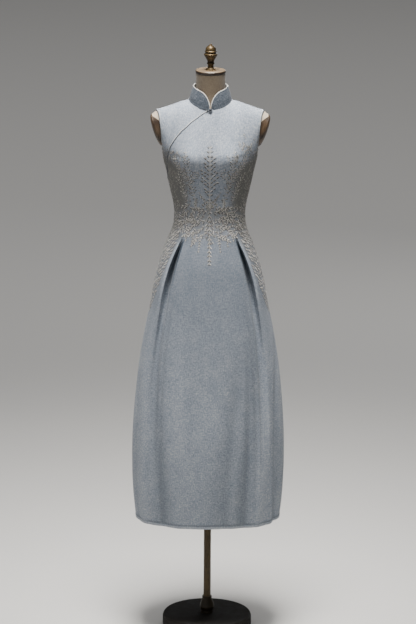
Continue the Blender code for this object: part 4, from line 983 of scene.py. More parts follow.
def vine(places, reach, gap, open_angle, tone, width=0.0024, beading=0.06, stem=0.0009, shadow=0.6):
    """A stem through some places with leaves at each step; reach(share) is a leaf's length."""
    places = np.asarray(places, float)
    line = smooth_line(places, 60) if len(places) > 2 else blend(places[0], places[-1], np.linspace(0, 1, 60)[:, None])
    per_degree, per_height = metric(line[:, 0], line[:, 1])
    east = -np.diff(line[:, 0]) * per_degree[:-1]
    north = np.diff(line[:, 1]) * per_height[:-1]
    run = np.concatenate([[0.0], np.cumsum(np.hypot(east, north))])
    heading = np.unwrap(np.arctan2(north, east))
    heading = np.concatenate([heading, heading[-1:]])
    count = max(int(round(run[-1] / gap)) + 1, 2)
    at = np.linspace(0, run[-1], count)
    a, h = np.interp(at, run, line[:, 0]), np.interp(at, run, line[:, 1])
    turn = np.interp(at, run, heading)
    for i in range(count):
        length = reach(i / (count - 1))
        for side in (1, -1):
            if RNG.random() < 0.06 or length < 0.003:
                continue
            leaf(a[i], h[i], turn[i] + side * (open_angle + RNG.normal(0, 0.10)), length * RNG.uniform(0.85, 1.15),
                 width * RNG.uniform(0.85, 1.15), shade_of(tone),
                 side * RNG.uniform(0.0, 0.14), shadow)
        if RNG.random() < beading:
            beads.append((a[i], h[i], RNG.uniform(0.0008, 0.0012)))
    leaf(a[-1], h[-1], turn[-1], reach(1.0) + 0.003, width, tone[0], 0.0, shadow)
    if stem:
        stems.append((a, h, stem, tone[0] - 0.1))
    return a, h, turn, at


def side_branch(angle, height, heading, length, bend, **look):
    """A short vine that sets out in one direction and bends evenly."""
    places = [(angle, height)]
    for _ in range(6):
        heading += bend / 6
        angle, height = move(angle, height, heading, length / 6)
        places.append((float(angle), float(height)))
    return vine(places, **look)


def swell(full, start=0.25, end=0.35):
    """A leaf length that grows over the start of a vine and falls off at its end."""
    return lambda share: full * min(1.0, 0.45 + 0.55 * share / start, 0.35 + 0.65 * (1 - share) / end)


def tree(places, branch, gap, open_angle, bend, tone, leaf_length=0.0082, stem=0.0016, shadow=0.8, width=0.0029):
    """A spine whose side branches each carry a few leaves; branch(share) is a branch's length."""
    a, h, turn, at = vine(places, lambda share: 0.0, 0.005, 0.6, tone, beading=0.12, stem=stem)
    for where in np.arange(gap / 2, at[-1], gap):
        for side in (1, -1):
            length = branch(where / at[-1]) * RNG.uniform(0.9, 1.1)
            jitter = where + RNG.uniform(-0.12, 0.12) * gap
            x, y, t = (np.interp(jitter, at, v) for v in (a, h, turn))
            heading = t + side * (open_angle + RNG.normal(0, 0.10))
            x, y = move(x, y, heading, 0.0016)
            shade = (tone[0] + RNG.uniform(-0.10, 0.10), tone[1])
            first = max(length, 0.004)
            leaf(x, y, heading, min(first, leaf_length), width, shade_of(shade),
                 side * 0.1, shadow)
            step = leaf_length + 0.0006
            for k in range(1, int(length / step + 0.45)):
                x, y = move(x, y, heading, step)
                heading += side * bend / 3
                leaf(x, y, heading + RNG.normal(0, 0.12), leaf_length * RNG.uniform(0.85, 1.1), width,
                     shade_of(shade), side * 0.1, shadow)
            if RNG.random() < 0.12:
                beads.append((float(x), float(y), 0.0010))


def chevrons(angle, height, heading, count, tone, length=0.0098, width=0.0033, spread=0.52, gap=0.0100, shadow=1.0):
    """A short run of leaves that lean to either side in turn, with a dark leaf of painted shadow under most."""
    x, y = angle, height
    for k in range(count):
        side = 1 if k % 2 else -1
        leaf(float(x), float(y), heading + side * spread + RNG.normal(0, 0.10), length * RNG.uniform(0.85, 1.15),
             width * RNG.uniform(0.9, 1.1), shade_of(tone), side * 0.12, shadow)
        x, y = move(x, y, heading, gap * 0.62)


# The embroidery's layout: round values, mirrored left and right. Its extent follows the photo.
STAR = (90.0, 1.390)  # on the centre front, angle and height
FIR_HEIGHTS, FERN_HEIGHTS = (1.394, 1.450, 1.520, 1.590), (1.386, 1.330, 1.275, 1.220)

# The fir that grows up the centre front, thin at its foot, and the fern that hangs from the same star.
tree([(STAR[0], height) for height in FIR_HEIGHTS],
     lambda s: 0.047 * ease((s - 0.04) / 0.28) * max(1.05 - s, 0.0) ** 0.65, 0.0142, 0.80, 0.20, (0.68, 0.17),
     leaf_length=0.0122, width=0.0038, stem=0.0021, shadow=1.0)
tree([(STAR[0], height) for height in FERN_HEIGHTS],
     lambda s: 0.006 + 0.022 * ease(s / 0.15) * max(1.05 - s, 0.0) ** 0.8, 0.0136, 0.74, -0.10, (0.66, 0.17),
     leaf_length=0.0120, width=0.0038, stem=0.0018, shadow=1.0)
for turn in np.linspace(0.2, 2 * math.pi + 0.2, 9, endpoint=False):
    a, h = move(*STAR, turn, 0.0040)
    leaf(a, h, turn, RNG.uniform(0.008, 0.013), 0.0026, RNG.uniform(0.5, 0.85))
for turn in np.linspace(0.25, math.pi - 0.25, 8):
    side_branch(*STAR, turn, 0.022 - 0.006 * abs(math.sin(turn)), 0.3 * math.copysign(1, math.cos(turn)),
                reach=lambda s: 0.0070, gap=0.0085, open_angle=0.6, tone=WARM, beading=0.1)


def arc(foot, tip, sway, side, count=5):
    """Places from foot to tip, each degrees from the centre front and height, swaying out by so many degrees."""
    share = np.linspace(0.0, 1.0, count)
    from_centre = foot[0] + (tip[0] - foot[0]) * share + sway * np.sin(math.pi * share)
    return [(90.0 - side * a, foot[1] + (tip[1] - foot[1]) * t) for a, t in zip(from_centre, share)]


# Sprigs beside it on both sides, short vines that arch in to the stem, and a scroll under each.
SPRIGS = (  # foot, tip, sway
    ((18.0, 1.400), (28.0, 1.575), 2.5), ((25.0, 1.485), (50.0, 1.565), 3.0), ((23.0, 1.450), (45.0, 1.530), -2.0),
    ((22.0, 1.470), (13.0, 1.510), 1.5), ((34.0, 1.405), (50.0, 1.500), -2.5),
)
for side in (1, -1):
    for foot, tip, sway in SPRIGS:
        shade = (0.58, 0.16) if tip[1] > 1.55 else (0.62, 0.17)
        tree(arc(foot, tip, sway, side), lambda s: 0.004 + 0.012 * ease(s / 0.3) * ease((1.15 - s) / 0.5), 0.0112, 0.72,
             0.2, shade, stem=0.0012, leaf_length=0.0078, width=0.0029, shadow=0.80)
    vine(arc((13.0, 1.442), (1.0, 1.405), 2.0, side), swell(0.0076), 0.0064, 0.7, WARM if side < 0 else GREY,
         beading=0.15)
    scroll = [(90.0 - side * (16.0 - 4.5 * math.cos(t)), 1.402 + 0.016 * math.sin(t)) for t in np.linspace(1.6, 5.2, 6)]
    vine(scroll, swell(0.0080), 0.0052, 0.75, PALE, beading=0.3)

# The waist's band: sprays out from the centre, in loose pairs, with curled ends.
WAIST_SPRAYS = (  # angle, height and heading in degrees at the start, length, bend, on the wearer's left
    (82.0, 1.378, -14, 0.036, 0.6), (81.0, 1.354, -26, 0.040, 0.8), (80.5, 1.330, -34, 0.040, 0.7),
    (80.5, 1.306, -44, 0.034, 0.5), (70.0, 1.384, -10, 0.034, -0.9), (68.0, 1.358, -34, 0.034, 0.9),
    (66.0, 1.334, -24, 0.030, -0.9), (63.0, 1.312, -48, 0.026, 0.9), (58.5, 1.378, -34, 0.030, -0.5),
    (56.5, 1.352, -44, 0.030, 0.6), (53.5, 1.330, -38, 0.022, 0.5), (74.5, 1.342, 32, 0.018, -1.2),
    (73.0, 1.306, -72, 0.026, 0.5), (57.0, 1.310, -64, 0.020, 0.5), (49.0, 1.372, -46, 0.030, 0.3),
    (46.0, 1.345, -50, 0.030, 0.3), (64.0, 1.398, 12, 0.024, -1.4),
)
for angle, height, heading, length, bend in WAIST_SPRAYS:
    for side in (1, -1):
        a = 90.0 + side * (angle - 90.0 + RNG.normal(0, 1.2))
        t = math.radians(heading + RNG.normal(0, 8))
        side_branch(a, height + RNG.normal(0, 0.003), mirrored_heading(side, t), length * RNG.uniform(0.9, 1.15),
                    side * bend, reach=swell(0.0098), gap=0.0092, open_angle=0.66,
                    tone=PALE if RNG.random() < 0.3 else WARM, width=0.0032, beading=0.14, shadow=1.0)
HANGING_STEP, HANGING_HEIGHT, HANGING_LENGTHS = 11.0, 1.300, (0.042, 0.032, 0.022)  # shorter away from the centre
for side in (1, -1):
    for k, length in enumerate(HANGING_LENGTHS, 1):
        foot = (HANGING_STEP * k, HANGING_HEIGHT + 0.005 * (k - 1))
        tip = (foot[0] + 1.0, foot[1] - length)
        vine(arc(foot, tip, 0.5, side), swell(0.0086, 0.2, 0.6), 0.0088, 0.60, (0.62, 0.15), width=0.0030,
             beading=0.3, shadow=1.0)

# Between the sprays the waist is filled with short leaves in loose chevrons.
WAIST_ROWS = (1.292, 1.402, 0.0140)  # first, last and step
WAIST_REACH, WAIST_COLUMN = 84.0, 7.4  # degrees
WAIST_LOW = ((0.0, 12.0, 24.0, 34.0, 44.0, 60.0, 84.0), (1.30, 1.292, 1.30, 1.32, 1.31, 1.29, 1.28))
WAIST_HIGH = ((0.0, 10.0, 30.0, 60.0, 84.0), (1.40, 1.392, 1.402, 1.405, 1.40))  # degrees from the centre, height
for row, height in enumerate(np.arange(*WAIST_ROWS)):
    for from_centre in np.arange(4.0 + 3.0 * (row % 2), WAIST_REACH, WAIST_COLUMN):
        low, high = (np.interp(from_centre, *curve) for curve in (WAIST_LOW, WAIST_HIGH))
        for side in (1, -1):
            if not low < height < high or RNG.random() < 0.14:
                continue
            flow = math.radians(-16.0 - 0.5 * from_centre + 24.0 * math.sin(from_centre * 0.16 + height * 60.0))
            chevrons(90.0 - side * (from_centre + RNG.normal(0, 0.9)), height + RNG.normal(0, 0.0016),
                     mirrored_heading(side, flow), 2, WARM if RNG.random() < 0.7 else PALE)

# Hips: rows of long strokes that slant down and out beside each pleat.
HIP_ROWS = (1.345, 1.050, -0.0112)  # first, last and step
HIP_INNER = ((1.05, 1.12, 1.20, 1.28, 1.36), (8.0, 22.0, 32.0, 40.0, 45.0))  # height, degrees from the side
HIP_OUTER = ((1.05, 1.10, 1.15, 1.20, 1.28, 1.36), (0.0, -4.0, -9.0, -13.0, -20.0, -24.0))
for side in (1, -1):
    for height in np.arange(*HIP_ROWS):
        inner, outer = (np.interp(height, *curve) for curve in (HIP_INNER, HIP_OUTER))
        from_side = inner + RNG.normal(0, 1.0)
        while from_side > outer:
            heading = math.radians(np.interp(from_side, (-20.0, 45.0), (-60.0, -38.0)) + RNG.normal(0, 6))
            leaf(mirrored(side, from_side), height + RNG.normal(0, 0.0016),
                 mirrored_heading(side, heading), RNG.uniform(0.015, 0.023), RNG.uniform(0.0034, 0.0042),
                 shade_of(PALE if RNG.random() < 0.35 else WARM),
                 side * RNG.uniform(-0.05, 0.14), 0.95)
            from_side -= 5.4 * RNG.uniform(0.85, 1.2)

# Bodice sides: a dense field of short upright leaves in dim thread that thins out on the bust and back.
FIELD_LEAVES = 1600
tries = RNG.uniform((-24.0, 1.33), (68.0, 1.600), (FIELD_LEAVES * 3, 2))
for side in (1, -1):
    kept = 0
    for from_side, height in tries:
        chance = stitched_and_shade_density(np.array(from_side), np.array(height))
        if kept >= FIELD_LEAVES // 2 or RNG.random() > chance * (0.30 if from_side > 36 else 1.0):
            continue
        kept += 1
        lean = RNG.choice((-0.45, 0.45)) + RNG.normal(0, 0.2)
        leaf(mirrored(side, from_side), height, math.pi / 2 + lean, RNG.uniform(0.0060, 0.0090),
             0.0023, shade_of(DIM if RNG.random() < 0.75 else GREY),
             RNG.uniform(-0.12, 0.12), 0.25)
        if RNG.random() < 0.02:
            beads.append((mirrored(side, from_side), height, 0.0010))

# A few small pale sprigs and beads up on the bust, and beads over the waist and hips.
BUST_SPRIGS = (  # side, degrees from it, height
    (1, 50.0, 1.570), (1, 40.0, 1.580), (1, 58.0, 1.556), (-1, 52.0, 1.556), (-1, 40.0, 1.550),
)
WAIST_BEADS, HIP_BEADS = 210, 120
for side, from_side, height in BUST_SPRIGS:
    for _ in range(5):
        a = from_side + RNG.normal(0, 5.5)
        side_branch(mirrored(side, a), height + RNG.normal(0, 0.012), RNG.uniform(0.9, 2.2), 0.010,
                    RNG.normal(0, 0.3), reach=lambda s: 0.0050, gap=0.0066, open_angle=0.5, tone=(0.70, 0.08),
                    width=0.0019, beading=0.2, shadow=0.5, stem=None)
for _ in range(WAIST_BEADS):
    from_centre = RNG.normal(0, 24.0)
    if abs(from_centre) < 42:
        beads.append((90.0 + from_centre, RNG.uniform(1.285, 1.395), RNG.uniform(0.0009, 0.0014)))
for _ in range(HIP_BEADS):
    share = RNG.random()
    from_side = blend(RNG.uniform(8, 40), RNG.uniform(2, 22), share)
    beads.append((mirrored(1 if RNG.random() < 0.5 else -1, from_side), blend(1.33, 1.10, share),
                  RNG.uniform(0.0008, 0.0012)))


def build_leaves(name, rows):
    shape = np.array([  # along, across, up
        (0.0, 0.0, 0.0), (0.26, 0.82, 0.1), (0.26, -0.82, 0.1), (0.62, 0.80, 0.1), (0.62, -0.80, 0.1),
        (1.0, 0.0, 0.1), (0.26, 0.0, 1.0), (0.62, 0.0, 0.9),
    ])
    faces = ((0, 2, 6), (0, 6, 1), (2, 4, 7, 6), (6, 7, 3, 1), (4, 5, 7), (7, 5, 3))
    angle, height, heading, length, width, tone, bow, proud = (np.array(v, float)[:, None] for v in zip(*rows))
    along = shape[None, :, 0] * length
    across = shape[None, :, 1] * width / 2 + bow * length * shape[None, :, 0] ** 2
    per_degree, per_height = metric(angle, height)
    east = along * np.cos(heading) - across * np.sin(heading)
    north = along * np.sin(heading) + across * np.cos(heading)
    points = lay(angle - east / per_degree, np.minimum(height + north / per_height, TOP - 0.004),
                 0.00010 + proud * shape[None, :, 2])
    uv = np.stack([along + angle * 0.01, across + height], -1)
    base = np.arange(len(rows))[:, None] * len(shape)
    all_faces = [tuple(int(b) + i for i in face) for b in base[:, 0] for face in faces]
    # Painted highlight and shade: each leaf is a little lighter along its raised middle and darker at its edges.
    tones = np.clip(tone + 0.10 * (shape[None, :, 2] - 0.5), 0, 1)
    return make_mesh(name, points, all_faces, uv, {"tone": tones}, None, floss)


def build_stems(name, rows):
    points, faces, uvs, tones = [], [], [], []
    count = 0
    for angle, height, width, tone in rows:
        per_degree, per_height = metric(angle, height)
        east, north = -np.gradient(angle) * per_degree, np.gradient(height) * per_height
        length = np.hypot(east, north) + 1e-9
        off_a, off_h = north / length / per_degree, east / length / per_height
        strip = [lay(angle + off_a * width * k / 2, height + off_h * width * k / 2, np.full(len(angle), up))
                 for k, up in ((1, 0.0001), (0, 0.00055), (-1, 0.0001))]
        grid = np.stack(strip, 1)
        run = np.concatenate([[0.0], np.cumsum(length[1:])])
        points.append(grid.reshape(-1, 3))
        uvs.append(np.stack(np.broadcast_arrays(run[:, None], np.array([[0.0, width / 2, width]])), -1).reshape(-1, 2))
        tones.append(np.full(grid.shape[0] * 3, min(tone + 0.1, 1.0)))
        faces += grid_quads(len(angle), 3, count)
        count += grid.shape[0] * 3
    return make_mesh(name, np.concatenate(points), faces, np.concatenate(uvs),
                     {"tone": np.concatenate(tones)}, None, floss)


def build_beads(name, rows):
    golden = (1 + 5**0.5) / 2
    ball = unit(np.array([(-1, golden, 0), (1, golden, 0), (-1, -golden, 0), (1, -golden, 0), (0, -1, golden),
                          (0, 1, golden), (0, -1, -golden), (0, 1, -golden), (golden, 0, -1), (golden, 0, 1),
                          (-golden, 0, -1), (-golden, 0, 1)], float))
    faces = ((0, 11, 5), (0, 5, 1), (0, 1, 7), (0, 7, 10), (0, 10, 11), (1, 5, 9), (5, 11, 4), (11, 10, 2),
             (10, 7, 6), (7, 1, 8), (3, 9, 4), (3, 4, 2), (3, 2, 6), (3, 6, 8), (3, 8, 9), (4, 9, 5), (2, 4, 11),
             (6, 2, 10), (8, 6, 7), (9, 8, 1))
    angle, height, radius = (np.array(v, float) for v in zip(*rows))
    centre = lay(angle, height, radius * 0.75 + 0.0003)
    points = centre[:, None] + ball[None] * radius[:, None, None]
    all_faces = [tuple(int(i) * 12 + k for k in face) for i in range(len(rows)) for face in faces]
    return make_mesh(name, points, all_faces, None, None, None, bead_glass)


embroidery = build_leaves("embroidery_leaves", leaves)
embroidery_stems = build_stems("embroidery_stems", stems)
embroidery_beads = build_beads("embroidery_beads", beads)


HEM_STITCH, TUCK_STITCH = (0.0030, 0.0012, 0.0007), (0.0022, 0.0012, 0.0006)  # length, gap, width
FORM_STITCH = (0.0026, 0.0014, 0.0005)
TUCK_ENDS = (1.298, 1.366)


def stitch_row(name, lines, length, gap, width, material, lift=0.0002, slot="dress_linen"):
    """Dashes of sewing along lines of points with normals: (points, normals) pairs."""
    points, faces = [], []
    for line, normals in lines:
        run = run_along(line)
        starts = np.arange(gap, run[-1] - length, length + gap)
        for start in starts:
            at = start + length * np.array([0.0, 0.3, 0.7, 1.0])
            p = np.stack([np.interp(at, run, line[:, k]) for k in range(3)], -1)
            n = unit(np.stack([np.interp(at, run, normals[:, k]) for k in range(3)], -1))
            side = unit(np.cross(n, np.gradient(p, axis=0)))
            rise = (lift + width * 0.45 * np.array([0.1, 1.0, 1.0, 0.1]))[:, None]
            base = len(points) * 12
            points.append(np.stack([p - side * width / 2, p + n * rise, p + side * width / 2], 1))
            faces += grid_quads(4, 3, base, flip=True)
    return make_mesh(name, np.concatenate([p.reshape(-1, 3) for p in points]), faces, None, None, None, material)


def on_cloth(angle, height, lift=0.0):
    angle, height = np.broadcast_arrays(np.asarray(angle, float), np.asarray(height, float))
    return lay(angle, height, np.full(angle.shape, lift)), surface_frame(angle, height)[1]


around = np.linspace(seam_angle(HEM) + 0.4, seam_angle(HEM) + 359.6, 900)
hem_line, hem_normal = on_cloth(around, HEM + HEM_LIP_HEIGHT + 0.0016)
back_side = np.where(around > 180.0, 1.0, 0.0)
hem_line[:, 2] += hem_step(around, np.full(around.shape, HEM)) * back_side
hem_sewing = stitch_row("hem_sewing", [(hem_line, hem_normal)], *HEM_STITCH, dark_sewing)
low = np.linspace(HEM + 0.01, 1.0, 300)
seam_line = on_cloth(seam_angle(low) + 0.9, low)
tucks = []
for side in (1, -1):
    for share in (1, -1):
        rows = np.linspace(*TUCK_ENDS, 40)
        angle = mirrored(side, tuck_angle(rows))
        tucks.append(on_cloth(angle if share > 0 else 360.0 - angle, rows))
tuck_sewing = stitch_row("tuck_sewing", tucks + [seam_line], *TUCK_STITCH, dark_sewing)


# ---------------------------------------------------------------- collar, pipings and frog

COLLAR_WALL, COLLAR_HALF_WIDTH, COLLAR_FRONT, COLLAR_BACK = 0.0018, 0.0540, 0.0530, 0.0530
COLLAR_FRONT_HEIGHT, COLLAR_SIDE_HEIGHT, COLLAR_BACK_HEIGHT = 1.744, 1.757, 1.763
COLLAR_OPENING, COLLAR_END_HEIGHT, COLLAR_END_LENGTH, COLLAR_END_ROUNDNESS = 0.0030, 0.20, 0.044, 2.3
COLLAR_BULGE, COLLAR_LIFT, PIPING_RADIUS, GAP = 0.0012, 0.0006, 0.0010, 0.0003


def collar_point(side, turn, rise):
    turn, rise = np.broadcast_arrays(np.asarray(turn, float), np.asarray(rise, float))
    front = turn <= 90.0
    x, y, z = top_edge(np.where(front, turn, 180.0 - turn) / 90.0 * NECK_SHARE, front)
    base = np.stack([x, np.where(front, -y, y), z], -1)
    around = np.radians(turn)
    top = np.stack([
        COLLAR_HALF_WIDTH * np.sin(around),
        -np.where(front, COLLAR_FRONT, COLLAR_BACK) * np.cos(around),
        blend(COLLAR_SIDE_HEIGHT, np.where(front, COLLAR_FRONT_HEIGHT, COLLAR_BACK_HEIGHT),
              np.abs(np.cos(around)) ** 1.5),
    ], -1)
    away = np.stack([np.sin(around), -np.cos(around), 0 * around], -1)
    point = base + (top - base) * rise[..., None] + away * (COLLAR_BULGE * np.sin(math.pi * rise))[..., None]
    point[..., 2] += COLLAR_LIFT
    scale = np.array([side, 1.0, 1.0])
    return point * scale, away * scale


def collar_top(turn):
    run = (np.radians(turn) * (NECK_HALF_WIDTH + NECK_FRONT) / 2 - COLLAR_OPENING) / COLLAR_END_LENGTH
    run = np.clip(run, 0, 1)
    curve = (1 - (1 - run) ** COLLAR_END_ROUNDNESS) ** (1 / COLLAR_END_ROUNDNESS)
    return np.maximum(curve, COLLAR_END_HEIGHT)


first_turn = math.degrees(COLLAR_OPENING / ((NECK_HALF_WIDTH + NECK_FRONT) / 2))
turns = first_turn + (180.0 - first_turn) * np.linspace(0, 1, 110) ** 1.35
COLLAR_SLACK, COLLAR_SEAM_FOLD, FACING_THICKNESS = 0.00035, 0.0006, 0.0005


def collar_face(levels):
    """The collar's grid from one front end round the back to the other, its outward directions and its slack."""
    sides = [collar_point(side, turns[None, :], levels * collar_top(turns)[None, :]) for side in (1, -1)]
    grid, away = (np.concatenate([sides[0][k], sides[1][k][:, -2::-1]], axis=1) for k in (0, 1))
    slack = COLLAR_SLACK * np.sin(np.linspace(0, 34, grid.shape[1]))[None, :] * np.sin(math.pi * levels)
    return grid, away, slack


def collar_wall(name, outer, inner, look):
    """The columns run from centre front over +X, so they are turned round to run like the panels."""
    made = thin_wall(name, outer[:, ::-1], inner[:, ::-1], look, cloth_uv(outer)[:, ::-1])
    recalc(made)
    return made


levels = np.linspace(0, 1, 13)[:, None]
ring, away, soft = collar_face(levels)
fold = COLLAR_SEAM_FOLD * bell(levels - 0.14, 0.05)
collar_outer = ring + away * (soft - fold)[..., None]
collar_inner = ring + away * (soft - fold - COLLAR_WALL)[..., None]
collar = collar_wall("collar_cloth", collar_outer, collar_inner, collar_linen)
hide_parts("stand_collar")

# A pale facing inside the collar, which shows above the neck at both sides.
inside, inside_away, inside_soft = collar_face(np.linspace(0.35, 0.985, 9)[:, None])
lining_at = inside + inside_away * (inside_soft - COLLAR_WALL - GAP)[..., None]
lining_back = lining_at - inside_away * FACING_THICKNESS
lining = collar_wall("collar_facing", lining_at, lining_back, lining_cloth)

edge_line = ring[-1] - away[-1] * COLLAR_WALL / 2
tangent = unit(np.gradient(edge_line, axis=0))
level = edge_line * LEVEL_PART
up = unit(np.cross(unit(level), tangent))
up = np.where(up[:, 2:] < 0, -up, up)
piping = tube("collar_edge_piping", edge_line + up * (PIPING_RADIUS + GAP * 0.3), 0.00105, 10, "pale_piping", pale_cord)
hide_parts("collar_piping")

OPENING_ROOM, CORD_RADIUS = 0.0006, 0.0011
past = np.linspace(0.6, 89.7, 260)
opening_places = (90.0 + past, opening_height(past))
edge, edge_normal = body_surface(*opening_places), surface_frame(*opening_places)[1]
tangent = unit(np.gradient(edge, axis=0))
off = unit(np.cross(tangent, edge_normal))
off = np.where(off[:, 2:] < 0, -off, off)
cord_line = edge + off * (CORD_RADIUS + OPENING_ROOM) + edge_normal * (CORD_RADIUS - 0.0009)
cord = tube("opening_cord", cord_line, 0.00145, 12, "grey_cord", grey_cord, twist=2400.0, lobes=3, lobe_depth=0.10)
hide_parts("opening_piping")
pale_line = edge + off * (2 * CORD_RADIUS + OPENING_ROOM + 0.0011) - edge_normal * 0.0009
facing = tube("opening_facing", pale_line, 0.0007, 8, "pale_piping", pale_cord)

BINDING_RADIUS = 0.0012
bindings, facings = [], []
for name, side in SIDES:
    rise = 0.5 - 0.5 * np.cos(np.linspace(0, math.pi, 90))
    front_edge = 0.0 if side > 0 else 180.0
    back_edge = 360.0 - 1e-5 if side > 0 else 180.0 + 1e-5
    angle = np.concatenate([np.full(90, front_edge), np.full(88, back_edge)])
    height = blend(UNDERARM + 1e-5, TOP, np.concatenate([rise, rise[-2:0:-1]]))
    loop = body_surface(angle, height)
    inside_step = np.where(np.mod(angle, 360.0) <= 180.0, side, -side) * 1.2
    near = body_surface(angle + inside_step, height)
    tangent = unit(np.roll(loop, -1, 0) - np.roll(loop, 1, 0))
    off = loop - near
    off = unit(off - tangent * np.sum(off * tangent, axis=1, keepdims=True))
    cloth_out = unit(np.cross(tangent, off))
    outward_guess = np.stack([np.full(len(loop), side * 0.4), np.where(angle <= 180.0, -1.0, 1.0),
                              1.4 * bell(height - TOP, 0.03)], -1)
    cloth_out = np.where(np.sum(cloth_out * outward_guess, axis=1, keepdims=True) < 0, -cloth_out, cloth_out)
    line = loop + off * (BINDING_RADIUS + 2 * GAP) - cloth_out * 0.0007
    # The binding cord is dark grey: it paints the shadow line between the pale facing and the arm stub.
    made = tube(f"armhole_shade_cord_{name}", line, BINDING_RADIUS, 10, "collar_linen", grey_cord, closed=True)
    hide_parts(f"armhole_binding_{name}")
    bindings.append(made)
    strip = []
    for reach, lift in ((0.0002, 0.00005), (0.0003, 0.0006), (0.0034, 0.0006), (0.0038, 0.00005)):
        strip.append(loop - off * reach + cloth_out * lift)
    strip = np.stack(strip, 1)
    run = run_along(loop)
    uv = np.stack(np.broadcast_arrays(run[:, None], np.linspace(0, 0.0062, 4)[None, :]), -1)
    faces = grid_quads(len(loop), 4) + [(len(loop) * 4 - 4 + j, len(loop) * 4 - 3 + j, j + 1, j) for j in range(3)]
    band = make_mesh(f"armhole_facing_{name}", strip, faces, uv, None, 50.0, binding_linen)
    recalc(band)
    facings.append(band)

FROG_BALL_RADIUS, FROG_KNOT_RADIUS, FROG_CORD_RADIUS = 0.0046, 0.0030, 0.0008
FROG_STAND, FROG_DROP, FROG_KNOT_LIFT = 0.0007, 0.0010, 0.0006
BALL_STRAND, KNOT_STRAND = 0.0012, 0.0008
_, normal, _, upward = (v.reshape(3) for v in surface_frame(np.array([90.0]), np.array([TOP - 0.001]))[:4])
seat = body_surface(np.array(90.0), np.array(TOP)) + np.array([0.0, 0.0, -FROG_DROP])
ball_at = seat + normal * (FROG_BALL_RADIUS + FROG_STAND)


KNOT_BIGHTS, KNOT_LEADS, KNOT_TILT = 5, 3, 1.1


def knot_line(radius, cord):
    """A Turk's head knot round a ball."""
    t = full_turn(220)
    spin, wave = t * KNOT_LEADS, math.radians(58) * np.sin(KNOT_BIGHTS * t)
    reach = radius - cord * 1.5 + cord * 0.55 * np.cos(2 * KNOT_BIGHTS * t + 0.6)
    level = reach * np.cos(wave)
    line = np.stack([level * np.cos(spin), level * np.sin(spin), reach * np.sin(wave)], -1)
    c, s = math.cos(KNOT_TILT), math.sin(KNOT_TILT)
    return line @ np.array([[1, 0, 0], [0, c, -s], [0, s, c]])


def knot(name, centre, radius, cord, node):
    line = knot_line(radius, cord) + centre
    rings, uv = tube_points(line, cord, 8, True)
    core, _ = tube_points(np.array([centre + np.array([0, 0, z]) for z in np.linspace(-1, 1, 9) * radius * 0.70]),
                          (radius * 0.72 * np.sqrt(1 - np.linspace(-0.97, 0.97, 9) ** 2))[:, None], 14)
    points = np.concatenate([rings.reshape(-1, 3), core.reshape(-1, 3)])
    faces = grid_quads(len(rings), 8, 0, True)
    faces += closing_ring(len(rings), 8)
    start = rings.size // 3
    faces += grid_quads(9, 14, start, True)
    faces += end_caps(9, 14, flip_last=True, start=start)
    flat_uv = np.concatenate([uv.reshape(-1, 2), np.zeros((core.size // 3, 2))])
    made = make_mesh(name, points, faces, flat_uv, None, None, dark_cord)
    recalc(made)
    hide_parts(node)
    return made


frog_ball = knot("frog_knotted_ball", ball_at, FROG_BALL_RADIUS, BALL_STRAND, "frog_ball")
reach = FROG_BALL_RADIUS + FROG_CORD_RADIUS + GAP
knot_at = ball_at + np.array([-(reach + FROG_CORD_RADIUS + FROG_KNOT_RADIUS + GAP), 0.0, FROG_KNOT_LIFT])
frog_knot = knot("frog_small_knot", knot_at, FROG_KNOT_RADIUS, KNOT_STRAND, "frog_knot")
turn = full_turn(72)
loop = ball_at + np.outer(np.cos(turn), [reach, 0, 0]) + np.outer(np.sin(turn), upward * reach)
frog_loop = tube("frog_cord_loop", loop, FROG_CORD_RADIUS, 10, "pale_piping", grey_cord, closed=True,
                 twist=2600.0, lobes=3, lobe_depth=0.12)
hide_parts("frog_loop")


# ---------------------------------------------------------------- the dress form and its stand

FORM_NECK_ROOM, FORM_SHOULDER_ROOM, FORM_ARMHOLE_ROOM = 0.0065, 0.0022, 0.0062
NECK_RADIUS, NECK_TOP, NECK_SLIM_SHARE = 0.0460, 1.7980, 0.5
ARM_PLATE_TOP, ARM_PLATE_TOP_HEIGHT, ARM_PLATE_HALF_LENGTH, ARM_PLATE_HALF_WIDTH = 0.181, 1.668, 0.053, 0.036
ARM_PLATE_TILT, ARM_PLATE_RIM, ARM_PLATE_DOME = math.radians(19.0), 0.003, 0.010


def form_point(angle, height):
    return body_surface(angle, height, False, FORM_NECK_ROOM, FORM_SHOULDER_ROOM, FORM_ARMHOLE_ROOM)


def plate_loop(side, turn, share=1.0, lift=0.0):
    along = np.array([side * math.sin(ARM_PLATE_TILT), 0.0, math.cos(ARM_PLATE_TILT)])
    out = np.array([side * math.cos(ARM_PLATE_TILT), 0.0, -math.sin(ARM_PLATE_TILT)])
    centre = np.array([side * ARM_PLATE_TOP, 0.0, ARM_PLATE_TOP_HEIGHT]) - along * ARM_PLATE_HALF_LENGTH
    turn = np.asarray(turn, float)
    long = np.outer(-np.cos(turn) * ARM_PLATE_HALF_LENGTH * share, along)
    wide = np.outer(-np.sin(turn) * ARM_PLATE_HALF_WIDTH * share, [0.0, 1.0, 0.0])
    return centre + long + wide + out * lift


